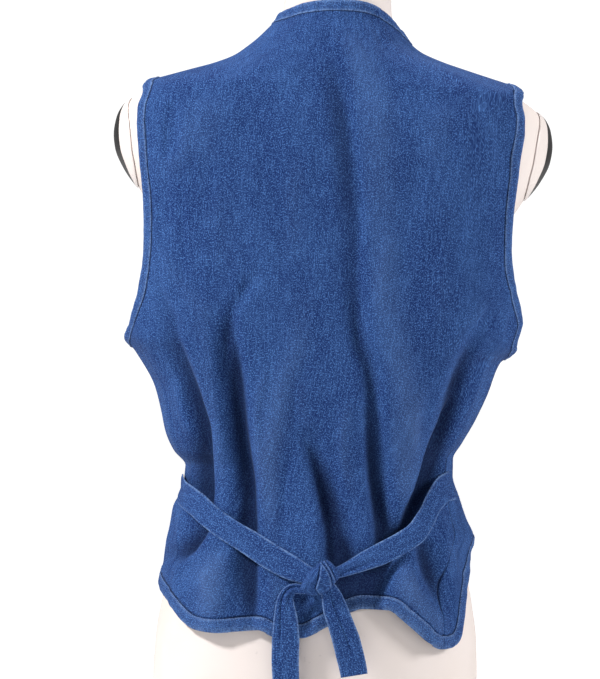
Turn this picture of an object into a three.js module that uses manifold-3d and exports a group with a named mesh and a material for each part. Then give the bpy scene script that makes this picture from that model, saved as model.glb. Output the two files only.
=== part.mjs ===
// Sleeveless denim vest, tied behind at the waist, worn by a limbless dress form.
// Millimetres, +Z up, the floor at z = 0. The garment's back faces -Y and the wearer's right is +X.
// Every cloth piece is cut from one surface: a stack of body sections, in turn degrees and height.
// Turn 0 is the middle of the back, 90 the right side, -90 the left side and 180 the middle of the front.
import * as THREE from "three";
import Module from "manifold-3d";

// Driving sizes
const clothThickness = 1.5;
const bindingRaise = 0.8;
const bindingThickness = 2.8;
const bindingEdgeShare = 0.7;
const seamGap = 0.35;
const hemSeamGap = 0.45;
const armholeBindingWidth = 12;
const neckBindingWidth = 12;
const hemBandWidth = 14;
const tieThickness = 2.2;
const tieLift = 0.4;
const tieEdgeShare = 0.8;
const knotRadius = { x: 12.5, y: 10.5, z: 18.5 };
const knotPlace = { x: 9.7, z: 223 };
const neckTop = 858;
const armPlate = { y: -3, z: 650, halfDepth: 40, halfHeight: 45, seat: 1.05, rim: 1.2, dome: 5 };
const bust = { x: 72, z: 535, height: 12, spread: 42 };

// How finely the pieces are divided
const columnsAcrossBack = 38;
const columnsAcrossFront = 12;
const rowsAlongSideSeam = 16;
const rowsAlongArmhole = 12;
const rowsAlongShoulder = 7;
const formSegments = 30;

// Colours, from the photograph
const denimColour = 0x324f87;
const formColour = 0xede4df;
const trimColour = 0x141414;

// Sections of the worn vest: height, half width to the left and right, depth behind and in front
// of the side points, where those lie in y, and how square the section is
const vestSections = table(
  ["z", "left", "right", "back", "front", "mid", "square"],
  [
    [140, 161, 166, 134, 118, 0, 0.1],
    [175, 160.5, 164, 133, 118, 0, 0.1],
    [203, 159.3, 160, 130, 118, 0, 0.1],
    [230, 156.5, 154.5, 125, 116, 0, 0.1],
    [253, 154.5, 151.5, 119, 114, 0, 0.1],
    [268, 150.8, 153.4, 116, 113, 0, 0.1],
    [288, 147.8, 145, 111, 112, 0, 0.1],
    [310, 139.6, 137.4, 107.5, 113, 0, 0.1],
    [330, 139.5, 131, 106, 114, 0, 0.1],
    [345, 149.5, 131.2, 106, 116, 0, 0.1],
    [362, 157.3, 139, 107, 119, 0, 0.1],
    [385, 163.2, 151.5, 108.5, 124, 0, 0.11],
    [410, 171, 162.5, 110.5, 130, 0, 0.12],
    [442, 190, 174, 112.5, 136, 0, 0.12],
    [458, 202, 192, 113.5, 138, 0, 0.12],
    [485, 204.5, 200.5, 115, 141, 0, 0.12],
    [540, 207, 205.5, 116.5, 141, 0, 0.12],
    [600, 211, 210, 117, 130, 0, 0.12],
    [640, 215, 214, 115, 115, -1, 0.12],
    [665, 216, 216, 111.5, 104, -2, 0.11],
    [685, 213, 213, 106.5, 93, -4, 0.1],
    [698, 207, 208, 101.5, 85, -5, 0.09],
    [706, 199, 203, 98, 80, -6, 0.08],
    [712, 187, 196, 95.5, 77, -7, 0.08],
    [716, 167, 188, 93.8, 75, -8, 0.07],
    [721, 154.5, 176, 91.6, 72.5, -8, 0.07],
    [726, 141, 157, 89.8, 70, -9, 0.07],
    [733, 120, 135, 87.4, 66.5, -10, 0.06],
    [742, 100, 104, 84.5, 62.5, -10, 0.06],
    [750, 89, 85, 82, 59, -10, 0.05],
    [759, 78.5, 73.5, 78.7, 56, -9, 0.05],
    [770, 68, 65.5, 74.2, 52.2, -9, 0.04],
    [780, 59.5, 60.5, 70.2, 49.4, -8, 0.03],
    [792, 57, 57.5, 66.6, 47.6, -8, 0.02],
    [815, 56, 56.5, 64.6, 47, -7, 0.02],
  ],
);

// Sections of the dress form, which is the same on both sides
const formSections = table(
  ["z", "left", "right", "back", "front", "mid", "square"],
  [
    [0, 156, 156, 110, 97, 0, 0.08],
    [35, 159.5, 159.5, 116, 101.5, 0, 0.08],
    [78, 161.6, 161.6, 120.5, 104.2, 0, 0.08],
    [120, 162, 162, 122, 105, 0, 0.08],
    [165, 160, 160, 121, 105, 0, 0.08],
    [200, 154.6, 154.6, 117, 104, 0, 0.08],
    [228, 149, 149, 111.5, 102, 0, 0.08],
    [256, 142, 142, 104, 99.5, 0, 0.08],
    [285, 131.5, 131.5, 94.5, 96, 0, 0.08],
    [312, 122.5, 122.5, 85, 93.5, 0, 0.08],
    [335, 119.5, 119.5, 80, 93, 0, 0.08],
    [362, 121, 121, 80, 95.5, 0, 0.08],
    [400, 128, 128, 86.5, 102.5, 0, 0.08],
    [440, 137, 137, 94.5, 111.5, 0, 0.08],
    [480, 145, 145, 101.5, 120.5, 0, 0.08],
    [520, 152, 152, 106.5, 126, 0, 0.08],
    [550, 160, 160, 109.5, 126, 0, 0.09],
    [577, 174, 174, 111.5, 122, 0, 0.1],
    [602, 190, 190, 112, 115, 0, 0.1],
    [625, 203, 203, 111, 107, 0, 0.1],
    [645, 210.5, 210.5, 109, 100.5, -1, 0.1],
    [662, 212.5, 212.5, 106.5, 95, -2, 0.09],
    [676, 211.5, 211.5, 103.5, 88.5, -3, 0.09],
    [687, 208, 208, 100.5, 83.5, -4, 0.08],
    [695, 201.5, 201.5, 97.5, 79.5, -5, 0.08],
    [701.5, 193, 193, 95, 76.5, -6, 0.07],
    [708, 181.5, 181.5, 92.5, 73.6, -7, 0.06],
    [712.5, 164, 164, 90.7, 71.4, -8, 0.06],
    [718, 151, 151, 88.4, 68.6, -8, 0.06],
    [723, 138, 138, 86.5, 66, -9, 0.06],
    [730, 117.5, 117.5, 84, 62.6, -10, 0.05],
    [739, 97.5, 97.5, 81, 58.6, -10, 0.05],
    [747, 81.5, 81.5, 78.3, 55.2, -10, 0.04],
    [756, 70.5, 70.5, 74.8, 52.2, -9, 0.04],
    [767, 62.5, 62.5, 70.4, 48.8, -9, 0.03],
    [778, 56.5, 56.5, 66, 46.2, -8, 0.02],
    [792, 53.8, 53.8, 62, 44.8, -7, 0.01],
    [820, 52.6, 52.6, 59.4, 45.6, -5, 0.01],
    [neckTop, 52, 52, 57, 47, -2, 0.01],
  ],
);

// The right side seam lies a little to the back: height and turn
const rightSideSeam = table(
  ["z", "turn"],
  [
    [140, 44],
    [215, 49],
    [245, 54.5],
    [290, 61.5],
    [321, 66],
    [345, 74],
    [380, 82],
    [430, 88.5],
    [446, 90],
  ],
);
const leftSideSeamTurn = -90;
const sideSeamGapTurn = 0.09;

// The hole edge of each armhole: height, and how far out it lies behind and in front
const armholeEdges = {
  left: {
    bottom: 455,
    tip: 713,
    rows: table(
      ["z", "back", "front"],
      [
        [466, 199, 196],
        [484, 194, 186],
        [506, 189, 178],
        [540, 185, 172],
        [580, 185.5, 170],
        [620, 190.5, 172],
        [655, 194.5, 176],
        [682, 195.5, 180],
        [701, 191.5, 184],
      ],
    ),
  },
  right: {
    bottom: 453,
    tip: 718,
    rows: table(
      ["z", "back", "front"],
      [
        [465, 190, 188],
        [484, 194, 184],
        [512, 188.5, 178],
        [540, 182.5, 172],
        [580, 181.5, 170],
        [620, 184, 172],
        [655, 187.5, 176],
        [684, 190, 180],
        [704, 187, 184],
      ],
    ),
  },
};

// The free edge of the vest above the hem: up the left front, round the neck, down the right front
const frontEdge = {
  left: table(
    ["z", "x"],
    [
      [166, -19],
      [235, -18],
      [320, -14],
      [420, -12],
      [480, -13],
      [530, -20],
      [600, -33],
      [670, -45],
      [715, -53],
      [742, -57],
      [765, -59],
      [780, -57.8],
    ],
  ),
  right: table(
    ["z", "x"],
    [
      [166, 19],
      [235, 18],
      [320, 14],
      [420, 12],
      [480, 13],
      [530, 20],
      [600, 33],
      [670, 45],
      [715, 53],
      [742, 58],
      [761, 62.5],
    ],
  ),
};
const neckEdgeBehind = table(
  ["turn", "z"],
  [
    [-90, 790],
    [-60, 797],
    [-30, 803.5],
    [0, 806],
    [30, 804],
    [52, 796],
    [72, 783],
    [90, 771],
  ],
);

// The hem: where its lower edge lies, behind and in front
const hemBehind = table(
  ["x", "z"],
  [
    [-157.4, 206],
    [-152, 198],
    [-144, 188],
    [-133, 176.5],
    [-120, 169.4],
    [-100, 167.5],
    [-79, 170],
    [-58, 172],
    [-40, 165.5],
    [-15, 166],
    [8, 176.7],
    [30, 191],
    [47, 196.3],
    [70, 196],
    [83, 187],
    [97, 175],
    [111, 163.5],
    [124, 158.3],
    [135, 160],
    [143.7, 170],
    [146.5, 186],
    [148, 210],
    [150.5, 232],
    [150.8, 251],
  ],
);
const hemInFront = table(
  ["x", "z"],
  [
    [147, 261],
    [134, 240],
    [112, 203],
    [85, 180],
    [58, 169],
    [19, 166],
    [-19, 166],
    [-58, 169],
    [-85, 180],
    [-115, 204],
    [-140, 217],
    [-152, 217],
  ],
);

// Folds: how far the cloth is pushed out or in along a line that runs down, and how wide the fold
// is to the left and right of that line. Points are x, z and push; a minus pushes in.
const foldsBehind = [
  fold(17, 13, [[-178, 504, 0], [-151, 445, -3], [-131, 385, -7], [-118, 366, -10], [-112, 336, -12],
    [-111, 296, -11], [-113, 271, -7], [-129, 250, -8], [-149, 228, 0]]),
  fold(22, 14, [[-88, 525, 0], [-89, 417, -8], [-83, 371, -13], [-78, 342, -16], [-72, 314, -18],
    [-69, 272, -17], [-67, 235, -14], [-65, 198, -9], [-63, 168, -4]]),
  fold(15, 14, [[-128, 506, 0], [-110, 426, 4], [-97, 347, 7], [-86, 297, 5], [-88, 262, 2],
    [-101, 225, 9], [-104, 190, 6], [-105, 166, 3]]),
  fold(14, 10, [[-18, 520, 0], [-29, 449, 3], [-40, 419, 4], [-48, 368, 6], [-52, 338, 7],
    [-50, 300, 5], [-46, 262, 1], [-42, 225, 3], [-38, 170, 2]]),
  fold(17, 15, [[-22, 376, 0], [-17, 356, -6], [-9, 322, -10], [1, 288, -13], [6, 259, -13],
    [8, 235, -10], [8, 200, -7], [8, 172, -3]]),
  fold(45, 30, [[-23, 760, 0], [-8, 720, -2], [0, 650, -3.5], [12, 580, -3.5], [21, 530, -4],
    [30, 471, -4], [42, 430, -2], [46, 400, 0]]),
  fold(22, 15, [[18, 560, 0], [30, 471, -4], [45, 421, -8], [49, 365, -12], [53, 330, -14],
    [57, 296, -14], [59, 262, -12], [54, 230, -12], [50, 194, -9]]),
  fold(22, 16, [[-20, 765, 0], [-11, 750, 1.5], [11, 690, 2.5], [23, 621, 2], [36, 560, 2],
    [62, 480, 4], [75, 420, 6], [80, 365, 8], [80, 320, 7], [78, 285, 3], [76, 270, 0]]),
  fold(19, 18, [[150, 482, 0], [139, 455, -6], [128, 412, -12], [120, 378, -17], [113, 349, -19],
    [103, 320, -19], [95, 297, -18], [86, 272, -13], [70, 245, -12], [58, 222, -10], [54, 200, 0]]),
  fold(14, 12, [[-134, 700, 0], [-140, 670, 2], [-148, 645, 2.5], [-166, 609, 0]]),
  fold(18, 14, [[66, 262, 0], [80, 240, 4], [92, 213, 9], [108, 190, 8], [118, 162, 5]]),
  fold(12, 11, [[104, 274, 0], [106, 258, -8], [113, 234, -9], [121, 210, -4], [126, 193, 0]]),
];
const foldsInFront = [
  fold(18, 14, [[-158, 470, 0], [-140, 425, -7], [-127, 375, -13], [-118, 335, -15], [-112, 292, -10],
    [-110, 245, -5], [-108, 205, 0]]),
  fold(20, 18, [[-66, 500, 0], [-72, 410, 4], [-76, 340, 7], [-73, 280, 5], [-70, 176, 7]]),
  fold(14, 20, [[-30, 440, 0], [-35, 350, -5], [-38, 265, -7], [-40, 172, -4]]),
  fold(16, 12, [[30, 455, 0], [31, 370, -4], [30, 285, -8], [33, 172, -5]]),
  fold(18, 18, [[58, 500, 0], [66, 400, 3], [71, 330, 7], [67, 262, 5], [62, 176, 6]]),
  fold(13, 18, [[152, 480, 0], [136, 430, -7], [122, 382, -13], [112, 338, -14], [106, 292, -9],
    [104, 240, 0]]),
];

// The tie strips: middle line seen from behind, half width, and how far the strip lifts off the cloth
const tieColumns = ["x", "z", "half", "lift"];
const leftTie = table(tieColumns, [
  [-139.4, 311, 14, 0.7],
  [-134, 303, 13.5, 0.7],
  [-120, 291, 12.5, 0.4],
  [-104, 278, 12, 0],
  [-86, 267, 12, 0],
  [-68, 257, 12.5, 0],
  [-48, 245, 13, 0.5],
  [-30, 236, 12.5, 2],
  [-16, 230, 10.5, 5],
  [-4, 226, 8, 9],
  [8, 224, 6, 10],
]);
const rightTie = table(tieColumns, [
  [127.5, 320, 15, 0],
  [119, 315, 13.5, 0],
  [111.5, 304, 11.5, 0],
  [105, 290, 10.5, 0],
  [94, 272, 11, 0],
  [80, 262, 11, 0],
  [62, 252, 11, 0.5],
  [44, 243.5, 9.5, 2],
  [28, 236, 7, 5],
  [16, 231, 5.5, 9],
  [8, 228, 5, 10],
]);
// The hanging ends: middle line, half width, and how far each stands off the cloth
const leftTail = table(tieColumns, [
  [6, 214.5, 4.5, 9],
  [-5, 211.5, 4.8, 9.5],
  [-16, 209.5, 5.5, 8.5],
  [-26, 203.5, 7, 7],
  [-31, 193, 9, 5.5],
  [-30, 181, 11.5, 4.5],
  [-29.5, 164, 12.8, 4],
  [-29.8, 144, 12.8, 3],
  [-28, 119, 12.5, 2],
  [-26, 96, 12.2, 2.5],
]);
const rightTail = table(tieColumns, [
  [8, 219, 7, 9],
  [13, 208, 10, 8],
  [17, 196, 12, 6],
  [22.5, 182, 12.5, 5],
  [28.5, 166, 13, 4],
  [33.5, 149, 13, 3],
  [36.8, 137, 12.8, 2.5],
  [38.4, 127.5, 12.6, 2.5],
]);
const tiePressHalf = 27;
const tiePressFade = 18;
const tailTopOfHem = 188;

// Tables and curves through them

function table(columns, rows) {
  return rows.map((row) => Object.fromEntries(columns.map((name, i) => [name, row[i]])));
}

function fold(left, right, points) {
  return { left, right, line: table(["x", "z", "push"], points).reverse() };
}

// A smooth value of one column at a place in another, with no overshoot between rows
function along(rows, key, value, column) {
  const last = rows.length - 1;
  if (value <= rows[0][key]) return rows[0][column];
  if (value >= rows[last][key]) return rows[last][column];
  let i = 0;
  while (rows[i + 1][key] < value) i += 1;
  const slope = (k) => (rows[k + 1][column] - rows[k][column]) / (rows[k + 1][key] - rows[k][key]);
  const tangent = (k) => {
    if (k === 0 || k === last) return slope(k === 0 ? 0 : last - 1);
    const before = slope(k - 1);
    const after = slope(k);
    return before * after <= 0 ? 0 : (2 * before * after) / (before + after);
  };
  const span = rows[i + 1][key] - rows[i][key];
  const t = (value - rows[i][key]) / span;
  const h = 1 - t;
  return (
    rows[i][column] * h * h * (1 + 2 * t) +
    rows[i + 1][column] * t * t * (1 + 2 * h) +
    span * t * h * (h * tangent(i) - t * tangent(i + 1))
  );
}

function smoothStep(from, to, value) {
  const t = Math.min(Math.max((value - from) / (to - from), 0), 1);
  return t * t * (3 - 2 * t);
}

function solve(low, high, isBelow) {
  let [a, b] = [low, high];
  for (let step = 0; step < 40; step += 1) {
    const middle = (a + b) / 2;
    if (isBelow(middle)) a = middle;
    else b = middle;
  }
  return (a + b) / 2;
}

const radians = (degrees) => (degrees * Math.PI) / 180;
const mix = (a, b, t) => a + (b - a) * t;

// The body sections

// A point on a section: an ellipse with its corners filled out by the section's squareness
function sectionPoint(sections, turn, z) {
  const at = (column) => along(sections, "z", z, column);
  const sine = Math.sin(radians(turn));
  const cosine = Math.cos(radians(turn));
  const square = at("square");
  const side = sine < 0 ? at("left") : at("right");
  const depth = cosine > 0 ? at("back") : at("front");
  return new THREE.Vector3(
    side * sine * (1 + square * cosine * cosine),
    at("mid") - depth * cosine * (1 + square * sine * sine),
    z,
  );
}

// The form has a bust, as a soft rise on each side of the front
function formPoint(turn, z) {
  const point = sectionPoint(formSections, turn, z);
  if (point.y > 0) {
    const away = Math.hypot(Math.abs(point.x) - bust.x, z - bust.z) / bust.spread;
    point.y += bust.height * Math.exp(-away * away);
  }
  return point;
}

// The turn at which a section reaches x, behind or in front
function turnAt(x, z, inFront = false) {
  const side = along(vestSections, "z", z, x < 0 ? "left" : "right");
  const square = along(vestSections, "z", z, "square");
  const reach = (turn) => {
    const sine = Math.sin(radians(turn));
    return side * sine * (1 + square * (1 - sine * sine));
  };
  const turn = solve(0, 90, (angle) => reach(angle) < Math.abs(x));
  return Math.sign(x || 1) * (inFront ? 180 - turn : turn);
}

// Outward direction in the level of the section
function levelNormal(turn, z) {
  const step = 0.5;
  const a = sectionPoint(vestSections, turn - step, z);
  const b = sectionPoint(vestSections, turn + step, z);
  return new THREE.Vector3(b.y - a.y, a.x - b.x, 0).normalize();
}

// How much the ties hold the cloth down at a place behind
function tiePress(x, z) {
  const tie = x < knotPlace.x ? leftTie : [...rightTie].reverse();
  if (x < tie[0].x - tiePressHalf || x > tie[tie.length - 1].x + tiePressHalf) return 0;
  const away = Math.abs(z - along(tie, "x", x, "z"));
  return 1 - smoothStep(tiePressHalf, tiePressHalf + tiePressFade, away);
}

// Sum of the folds at a place, in millimetres outward
function foldPush(point) {
  const behind = point.y < 0;
  let push = 0;
  for (const { left, right, line } of behind ? foldsBehind : foldsInFront) {
    if (point.z < line[0].z || point.z > line[line.length - 1].z) continue;
    const across = point.x - along(line, "z", point.z, "x");
    const width = across < 0 ? left : right;
    push += along(line, "z", point.z, "push") * Math.exp(-((across / width) ** 2));
  }
  if (behind && push > 0) push *= 1 - tiePress(point.x, point.z);
  return push;
}

// The outer face of the cloth. A fold stops softly where the cloth meets the form.
function clothPoint(turn, z) {
  const point = sectionPoint(vestSections, turn, z);
  const normal = levelNormal(turn, z);
  const room = Math.max(point.clone().sub(formPoint(turn, z)).dot(normal) - clearOfForm, 0.1);
  let push = foldPush(point);
  const softStart = 0.6;
  if (-push > softStart * room) {
    const over = (-push / room - softStart) / (1 - softStart);
    push = -room * (softStart + (1 - softStart) * Math.tanh(over));
  }
  return point.addScaledVector(normal, push);
}
const clearOfForm = bindingThickness + 0.9;

function slopes(turn, z, surface) {
  const turnStep = 0.4;
  const zStep = 0.8;
  return {
    perTurn: surface(turn + turnStep, z).sub(surface(turn - turnStep, z)).divideScalar(2 * turnStep),
    perZ: surface(turn, z + zStep).sub(surface(turn, z - zStep)).divideScalar(2 * zStep),
  };
}

function clothNormal(turn, z) {
  const { perTurn, perZ } = slopes(turn, z, clothPoint);
  return perTurn.cross(perZ).normalize();
}

function raised(place, height) {
  return clothPoint(place.turn, place.z).addScaledVector(clothNormal(place.turn, place.z), height);
}

// Moves a place over the bare body by a length in a direction, in small steps
function moveOver(place, direction, length) {
  const steps = 6;
  const step = length / steps;
  const surface = (turn, z) => sectionPoint(vestSections, turn, z);
  let { turn, z } = place;
  for (let i = 0; i < steps; i += 1) {
    const { perTurn, perZ } = slopes(turn, z, surface);
    const a = perTurn.dot(perTurn);
    const b = perTurn.dot(perZ);
    const c = perZ.dot(perZ);
    const p = perTurn.dot(direction) * step;
    const q = perZ.dot(direction) * step;
    const scale = a * c - b * b;
    turn += (p * c - q * b) / scale;
    z += (q * a - p * b) / scale;
  }
  return { turn, z };
}

// A line on the body, through places, and the same line moved sideways over the body
const turnScale = 2.2;
const frontTopLength = 16;
const backChestHeight = 452;
const backShoulderHeight = 738;
const frontChestHeight = 422;
const frontCollarboneHeight = 704;
const rowBend = 1.8;
const hemFollow = 1.5;
const neckFollow = 1.5;
const neckFollowRows = 5;

class BodyLine {
  constructor(places, closed = false) {
    const points = places.map(({ turn, z }) => new THREE.Vector3(turn * turnScale, z, 0));
    this.curve = new THREE.CatmullRomCurve3(points, closed, "centripetal");
    this.curve.arcLengthDivisions = 800;
  }

  at(t) {
    const point = this.curve.getPointAt(t);
    return { turn: point.x / turnScale, z: point.y };
  }

  moved(t, length) {
    const step = 0.002;
    const here = (place) => sectionPoint(vestSections, place.turn, place.z);
    const place = this.at(t);
    const after = here(this.at(Math.min(t + step, 1)));
    const before = here(this.at(Math.max(t - step, 0)));
    const { perTurn, perZ } = slopes(place.turn, place.z, (turn, z) =>
      sectionPoint(vestSections, turn, z),
    );
    const normal = perTurn.cross(perZ).normalize();
    const sideways = normal.cross(after.sub(before)).normalize();
    return moveOver(place, sideways, length);
  }

  whereTurnIs(turn, low, high, rising) {
    return solve(low, high, (t) => (this.at(t).turn < turn) === rising);
  }
}

// Meshes

const wasm = await Module();
wasm.setup();

function meshFrom(positions, triangles, name, colour, roughness) {
  let volume = 0;
  for (let i = 0; i < triangles.length; i += 3) {
    const [a, b, c] = [0, 1, 2].map((k) => positions[triangles[i + k]]);
    volume += a.dot(b.clone().cross(c));
  }
  const index = volume < 0 ? triangles.slice().reverse() : triangles;
  const geometry = new THREE.BufferGeometry();
  geometry.setAttribute(
    "position",
    new THREE.Float32BufferAttribute(positions.flatMap((p) => p.toArray()), 3),
  );
  geometry.setIndex(index);
  geometry.computeVertexNormals();
  const material = new THREE.MeshStandardMaterial({ color: colour, roughness, metalness: 0 });
  const mesh = new THREE.Mesh(geometry, material);
  mesh.name = name;
  return mesh;
}

// A closed wall between two grids of the same size
function wall(outer, inner, name) {
  const rows = outer.length;
  const columns = outer[0].length;
  const count = rows * columns;
  const triangles = [];
  const quad = (a, b, c, d) => triangles.push(a, b, c, a, c, d);
  const at = (j, i) => j * columns + i;
  for (let j = 0; j + 1 < rows; j += 1) {
    for (let i = 0; i + 1 < columns; i += 1) {
      quad(at(j, i), at(j, i + 1), at(j + 1, i + 1), at(j + 1, i));
      quad(count + at(j, i), count + at(j + 1, i), count + at(j + 1, i + 1), count + at(j, i + 1));
    }
  }
  const rim = [];
  for (let i = 0; i < columns; i += 1) rim.push(at(0, i));
  for (let j = 1; j < rows; j += 1) rim.push(at(j, columns - 1));
  for (let i = columns - 2; i >= 0; i -= 1) rim.push(at(rows - 1, i));
  for (let j = rows - 2; j > 0; j -= 1) rim.push(at(j, 0));
  rim.forEach((here, k) => {
    const next = rim[(k + 1) % rim.length];
    quad(here, count + here, count + next, next);
  });
  return meshFrom([...outer.flat(), ...inner.flat()], triangles, name, denimColour, 0.92);
}

// A closed body through sections with the same number of points, as a ring or with two ends
function sweep(sections, isRing, name, colour = denimColour, roughness = 0.92) {
  const sides = sections[0].length;
  const triangles = [];
  const links = isRing ? sections.length : sections.length - 1;
  for (let j = 0; j < links; j += 1) {
    const here = j * sides;
    const next = ((j + 1) % sections.length) * sides;
    for (let i = 0; i < sides; i += 1) {
      const k = (i + 1) % sides;
      triangles.push(here + i, here + k, next + k, here + i, next + k, next + i);
    }
  }
  if (!isRing) {
    const end = (sections.length - 1) * sides;
    for (let i = 1; i + 1 < sides; i += 1) {
      triangles.push(0, i + 1, i, end, end + i, end + i + 1);
    }
  }
  return meshFrom(sections.flat(), triangles, name, colour, roughness);
}

function solidOf(mesh) {
  const { geometry } = mesh;
  const merged = {
    numProp: 3,
    vertProperties: new Float32Array(geometry.attributes.position.array),
    triVerts: new Uint32Array(geometry.index.array),
  };
  return new wasm.Manifold(new wasm.Mesh(merged));
}

function meshOf(solid, name, colour, roughness) {
  const { vertProperties, triVerts, numProp } = solid.getMesh();
  const positions = [];
  for (let i = 0; i < vertProperties.length; i += numProp) {
    positions.push(new THREE.Vector3(...vertProperties.slice(i, i + 3)));
  }
  return meshFrom(positions, [...triVerts], name, colour, roughness);
}

// Edges that the pieces share

function armholeLine(side) {
  const sign = side === "left" ? -1 : 1;
  const { bottom, tip, rows } = armholeEdges[side];
  const behind = rows.map(({ z, back }) => ({ turn: turnAt(sign * back, z), z }));
  const inFront = rows.map(({ z, front }) => ({ turn: turnAt(sign * front, z, true), z }));
  return new BodyLine(
    [{ turn: sign * 90, z: bottom }, ...behind, { turn: sign * 90, z: tip }, ...inFront.reverse()],
    true,
  );
}

const armholeLines = { left: armholeLine("left"), right: armholeLine("right") };

const freeEdge = new BodyLine([
  ...frontEdge.left.map(({ x, z }) => ({ turn: turnAt(x, z, true), z })),
  ...neckEdgeBehind,
  ...frontEdge.right.map(({ x, z }) => ({ turn: turnAt(x, z, true), z })).reverse(),
]);

const hemPlaces = [
  ...hemInFront.slice(6).map(({ x, z }) => ({ turn: turnAt(x, z, true), z })),
  ...hemBehind.map(({ x, z }) => ({ turn: turnAt(x, z), z })),
  ...hemInFront.slice(0, 6).map(({ x, z }) => ({ turn: turnAt(x, z, true), z })),
];
const hemHeight = (turn) => along(hemPlaces, "turn", turn, "z");

const seamTurn = (side, z) =>
  side === "left" ? leftSideSeamTurn : along(rightSideSeam, "z", z, "turn");

// Where the armhole and neck lines cross the side and shoulder seams
const edgeShare = 0.0008;
const tipShare = {
  left: armholeLines.left.whereTurnIs(-90, 0.3, 0.7, false),
  right: armholeLines.right.whereTurnIs(90, 0.3, 0.7, true),
};
const neckShare = {
  left: freeEdge.whereTurnIs(-90, 0.3, 0.49, true),
  right: freeEdge.whereTurnIs(90, 0.51, 0.7, true),
};

// Places along the armhole for a panel: behind from the side seam up, or in front from it up
function armholePlaces(side, inFront, length, rows = rowsAlongArmhole) {
  const line = armholeLines[side];
  const tip = tipShare[side];
  const sign = side === "left" ? -1 : 1;
  const places = [];
  for (let k = 0; k <= rows; k += 1) {
    const t = inFront
      ? mix(1 - edgeShare, tip + edgeShare, k / rows)
      : mix(edgeShare, tip - edgeShare, k / rows);
    places.push(line.moved(t, sign * length));
  }
  return places;
}

// Places up the side seam between two corners, and up the shoulder seam between two corners
function sideSeamPlaces(side, inFront, low, high) {
  const sign = side === "left" ? -1 : 1;
  const gapTurn = sign * (inFront ? 1 : -1) * sideSeamGapTurn;
  const places = [];
  for (let j = 0; j < rowsAlongSideSeam; j += 1) {
    const z = mix(low.z, high.z, j / rowsAlongSideSeam);
    places.push(j === 0 ? low : { turn: seamTurn(side, z) + gapTurn, z });
  }
  return places;
}

function shoulderPlaces(side, low, high) {
  const halfWidth = (z) => along(vestSections, "z", z, side);
  const [wide, narrow] = [halfWidth(low.z), halfWidth(high.z)];
  const places = [];
  for (let j = 1; j <= rowsAlongShoulder; j += 1) {
    const share = j / rowsAlongShoulder;
    const target = mix(wide, narrow, share);
    const z = solve(low.z, high.z, (height) => halfWidth(height) > target);
    places.push(j === rowsAlongShoulder ? high : { turn: mix(low.turn, high.turn, share), z });
  }
  return places;
}

// A hem place raised over the cloth by the band's width
function overHem(turn, length) {
  const z = hemHeight(turn);
  const step = 0.5;
  const here = (t) => sectionPoint(vestSections, t, hemHeight(t));
  const tangent = here(turn + step).sub(here(turn - step));
  const { perTurn, perZ } = slopes(turn, z, (a, b) => sectionPoint(vestSections, a, b));
  const upward = perTurn.cross(perZ).normalize().cross(tangent).normalize();
  return moveOver({ turn, z }, upward, length);
}

const totalRows = rowsAlongSideSeam + rowsAlongArmhole + rowsAlongShoulder;

// A value for row j, even within each of the three stretches of rows
function inParts([first, second, third, last], j) {
  const armholeRow = j - rowsAlongSideSeam;
  if (armholeRow <= 0) return mix(first, second, j / rowsAlongSideSeam);
  if (armholeRow <= rowsAlongArmhole) return mix(second, third, armholeRow / rowsAlongArmhole);
  return mix(third, last, (armholeRow - rowsAlongArmhole) / rowsAlongShoulder);
}

// Turns of the hem's columns
function hemTurns(piece) {
  const hemSeam = {
    left: leftSideSeamTurn,
    right: along(rightSideSeam, "z", hemHeight(45), "turn"),
  };
  const frontEnd = (side) =>
    overFrontEdge(side === "left" ? 0 : 1, neckBindingWidth + seamGap).turn;
  const [from, to, columns] = {
    back: [hemSeam.left + sideSeamGapTurn, hemSeam.right - sideSeamGapTurn, columnsAcrossBack],
    left: [hemSeam.left - sideSeamGapTurn, frontEnd("left"), columnsAcrossFront],
    right: [hemSeam.right + sideSeamGapTurn, frontEnd("right"), columnsAcrossFront],
  }[piece];
  return Array.from({ length: columns + 1 }, (_, i) => mix(from, to, i / columns));
}

// The seam above the hem. Beside the front edge and the side seams it keeps the hem's own turn.
function hemSeamPlaces(piece, length) {
  const turns = hemTurns(piece);
  const last = turns.length - 1;
  return turns.map((turn, i) => {
    const place = overHem(turn, length);
    return i === 0 || i === last ? { turn, z: place.z } : place;
  });
}

function overFrontEdge(t, length) {
  return freeEdge.moved(t, -length);
}

// Shares of the free edge at which the neck binding and the panels have their points
function frontEdgeShares(side) {
  const hemEnd = side === "left" ? 0 : 1;
  const upward = side === "left" ? 1 : -1;
  const bandTop = hemHeight(freeEdge.at(hemEnd).turn) + hemBandWidth + hemSeamGap;
  const shareAtHeight = (height) =>
    hemEnd + upward * solve(0, 0.35, (t) => freeEdge.at(hemEnd + upward * t).z < height);
  const start = shareAtHeight(bandTop);
  const chest = shareAtHeight(frontChestHeight);
  const collarbone = shareAtHeight(frontCollarboneHeight);
  const shoulder = neckShare[side] - upward * edgeShare;
  const corner = shoulder - (upward * frontTopLength) / freeEdge.curve.getLength();
  const upFront = Array.from({ length: totalRows + 1 }, (_, j) =>
    inParts([start, chest, collarbone, corner], j),
  );
  const acrossTop = Array.from({ length: columnsAcrossFront + 1 }, (_, i) =>
    mix(shoulder, corner, i / columnsAcrossFront),
  );
  return { hemEnd, upFront, acrossTop };
}

function backNeckShares() {
  const from = neckShare.left + edgeShare;
  const to = neckShare.right - edgeShare;
  return Array.from({ length: columnsAcrossBack + 1 }, (_, i) => mix(from, to, i / columnsAcrossBack));
}

// The panels

function panel(places, name) {
  const face = (height) => places.map((row) => row.map((place) => raised(place, height)));
  return wall(face(0), face(-clothThickness), name);
}

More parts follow.
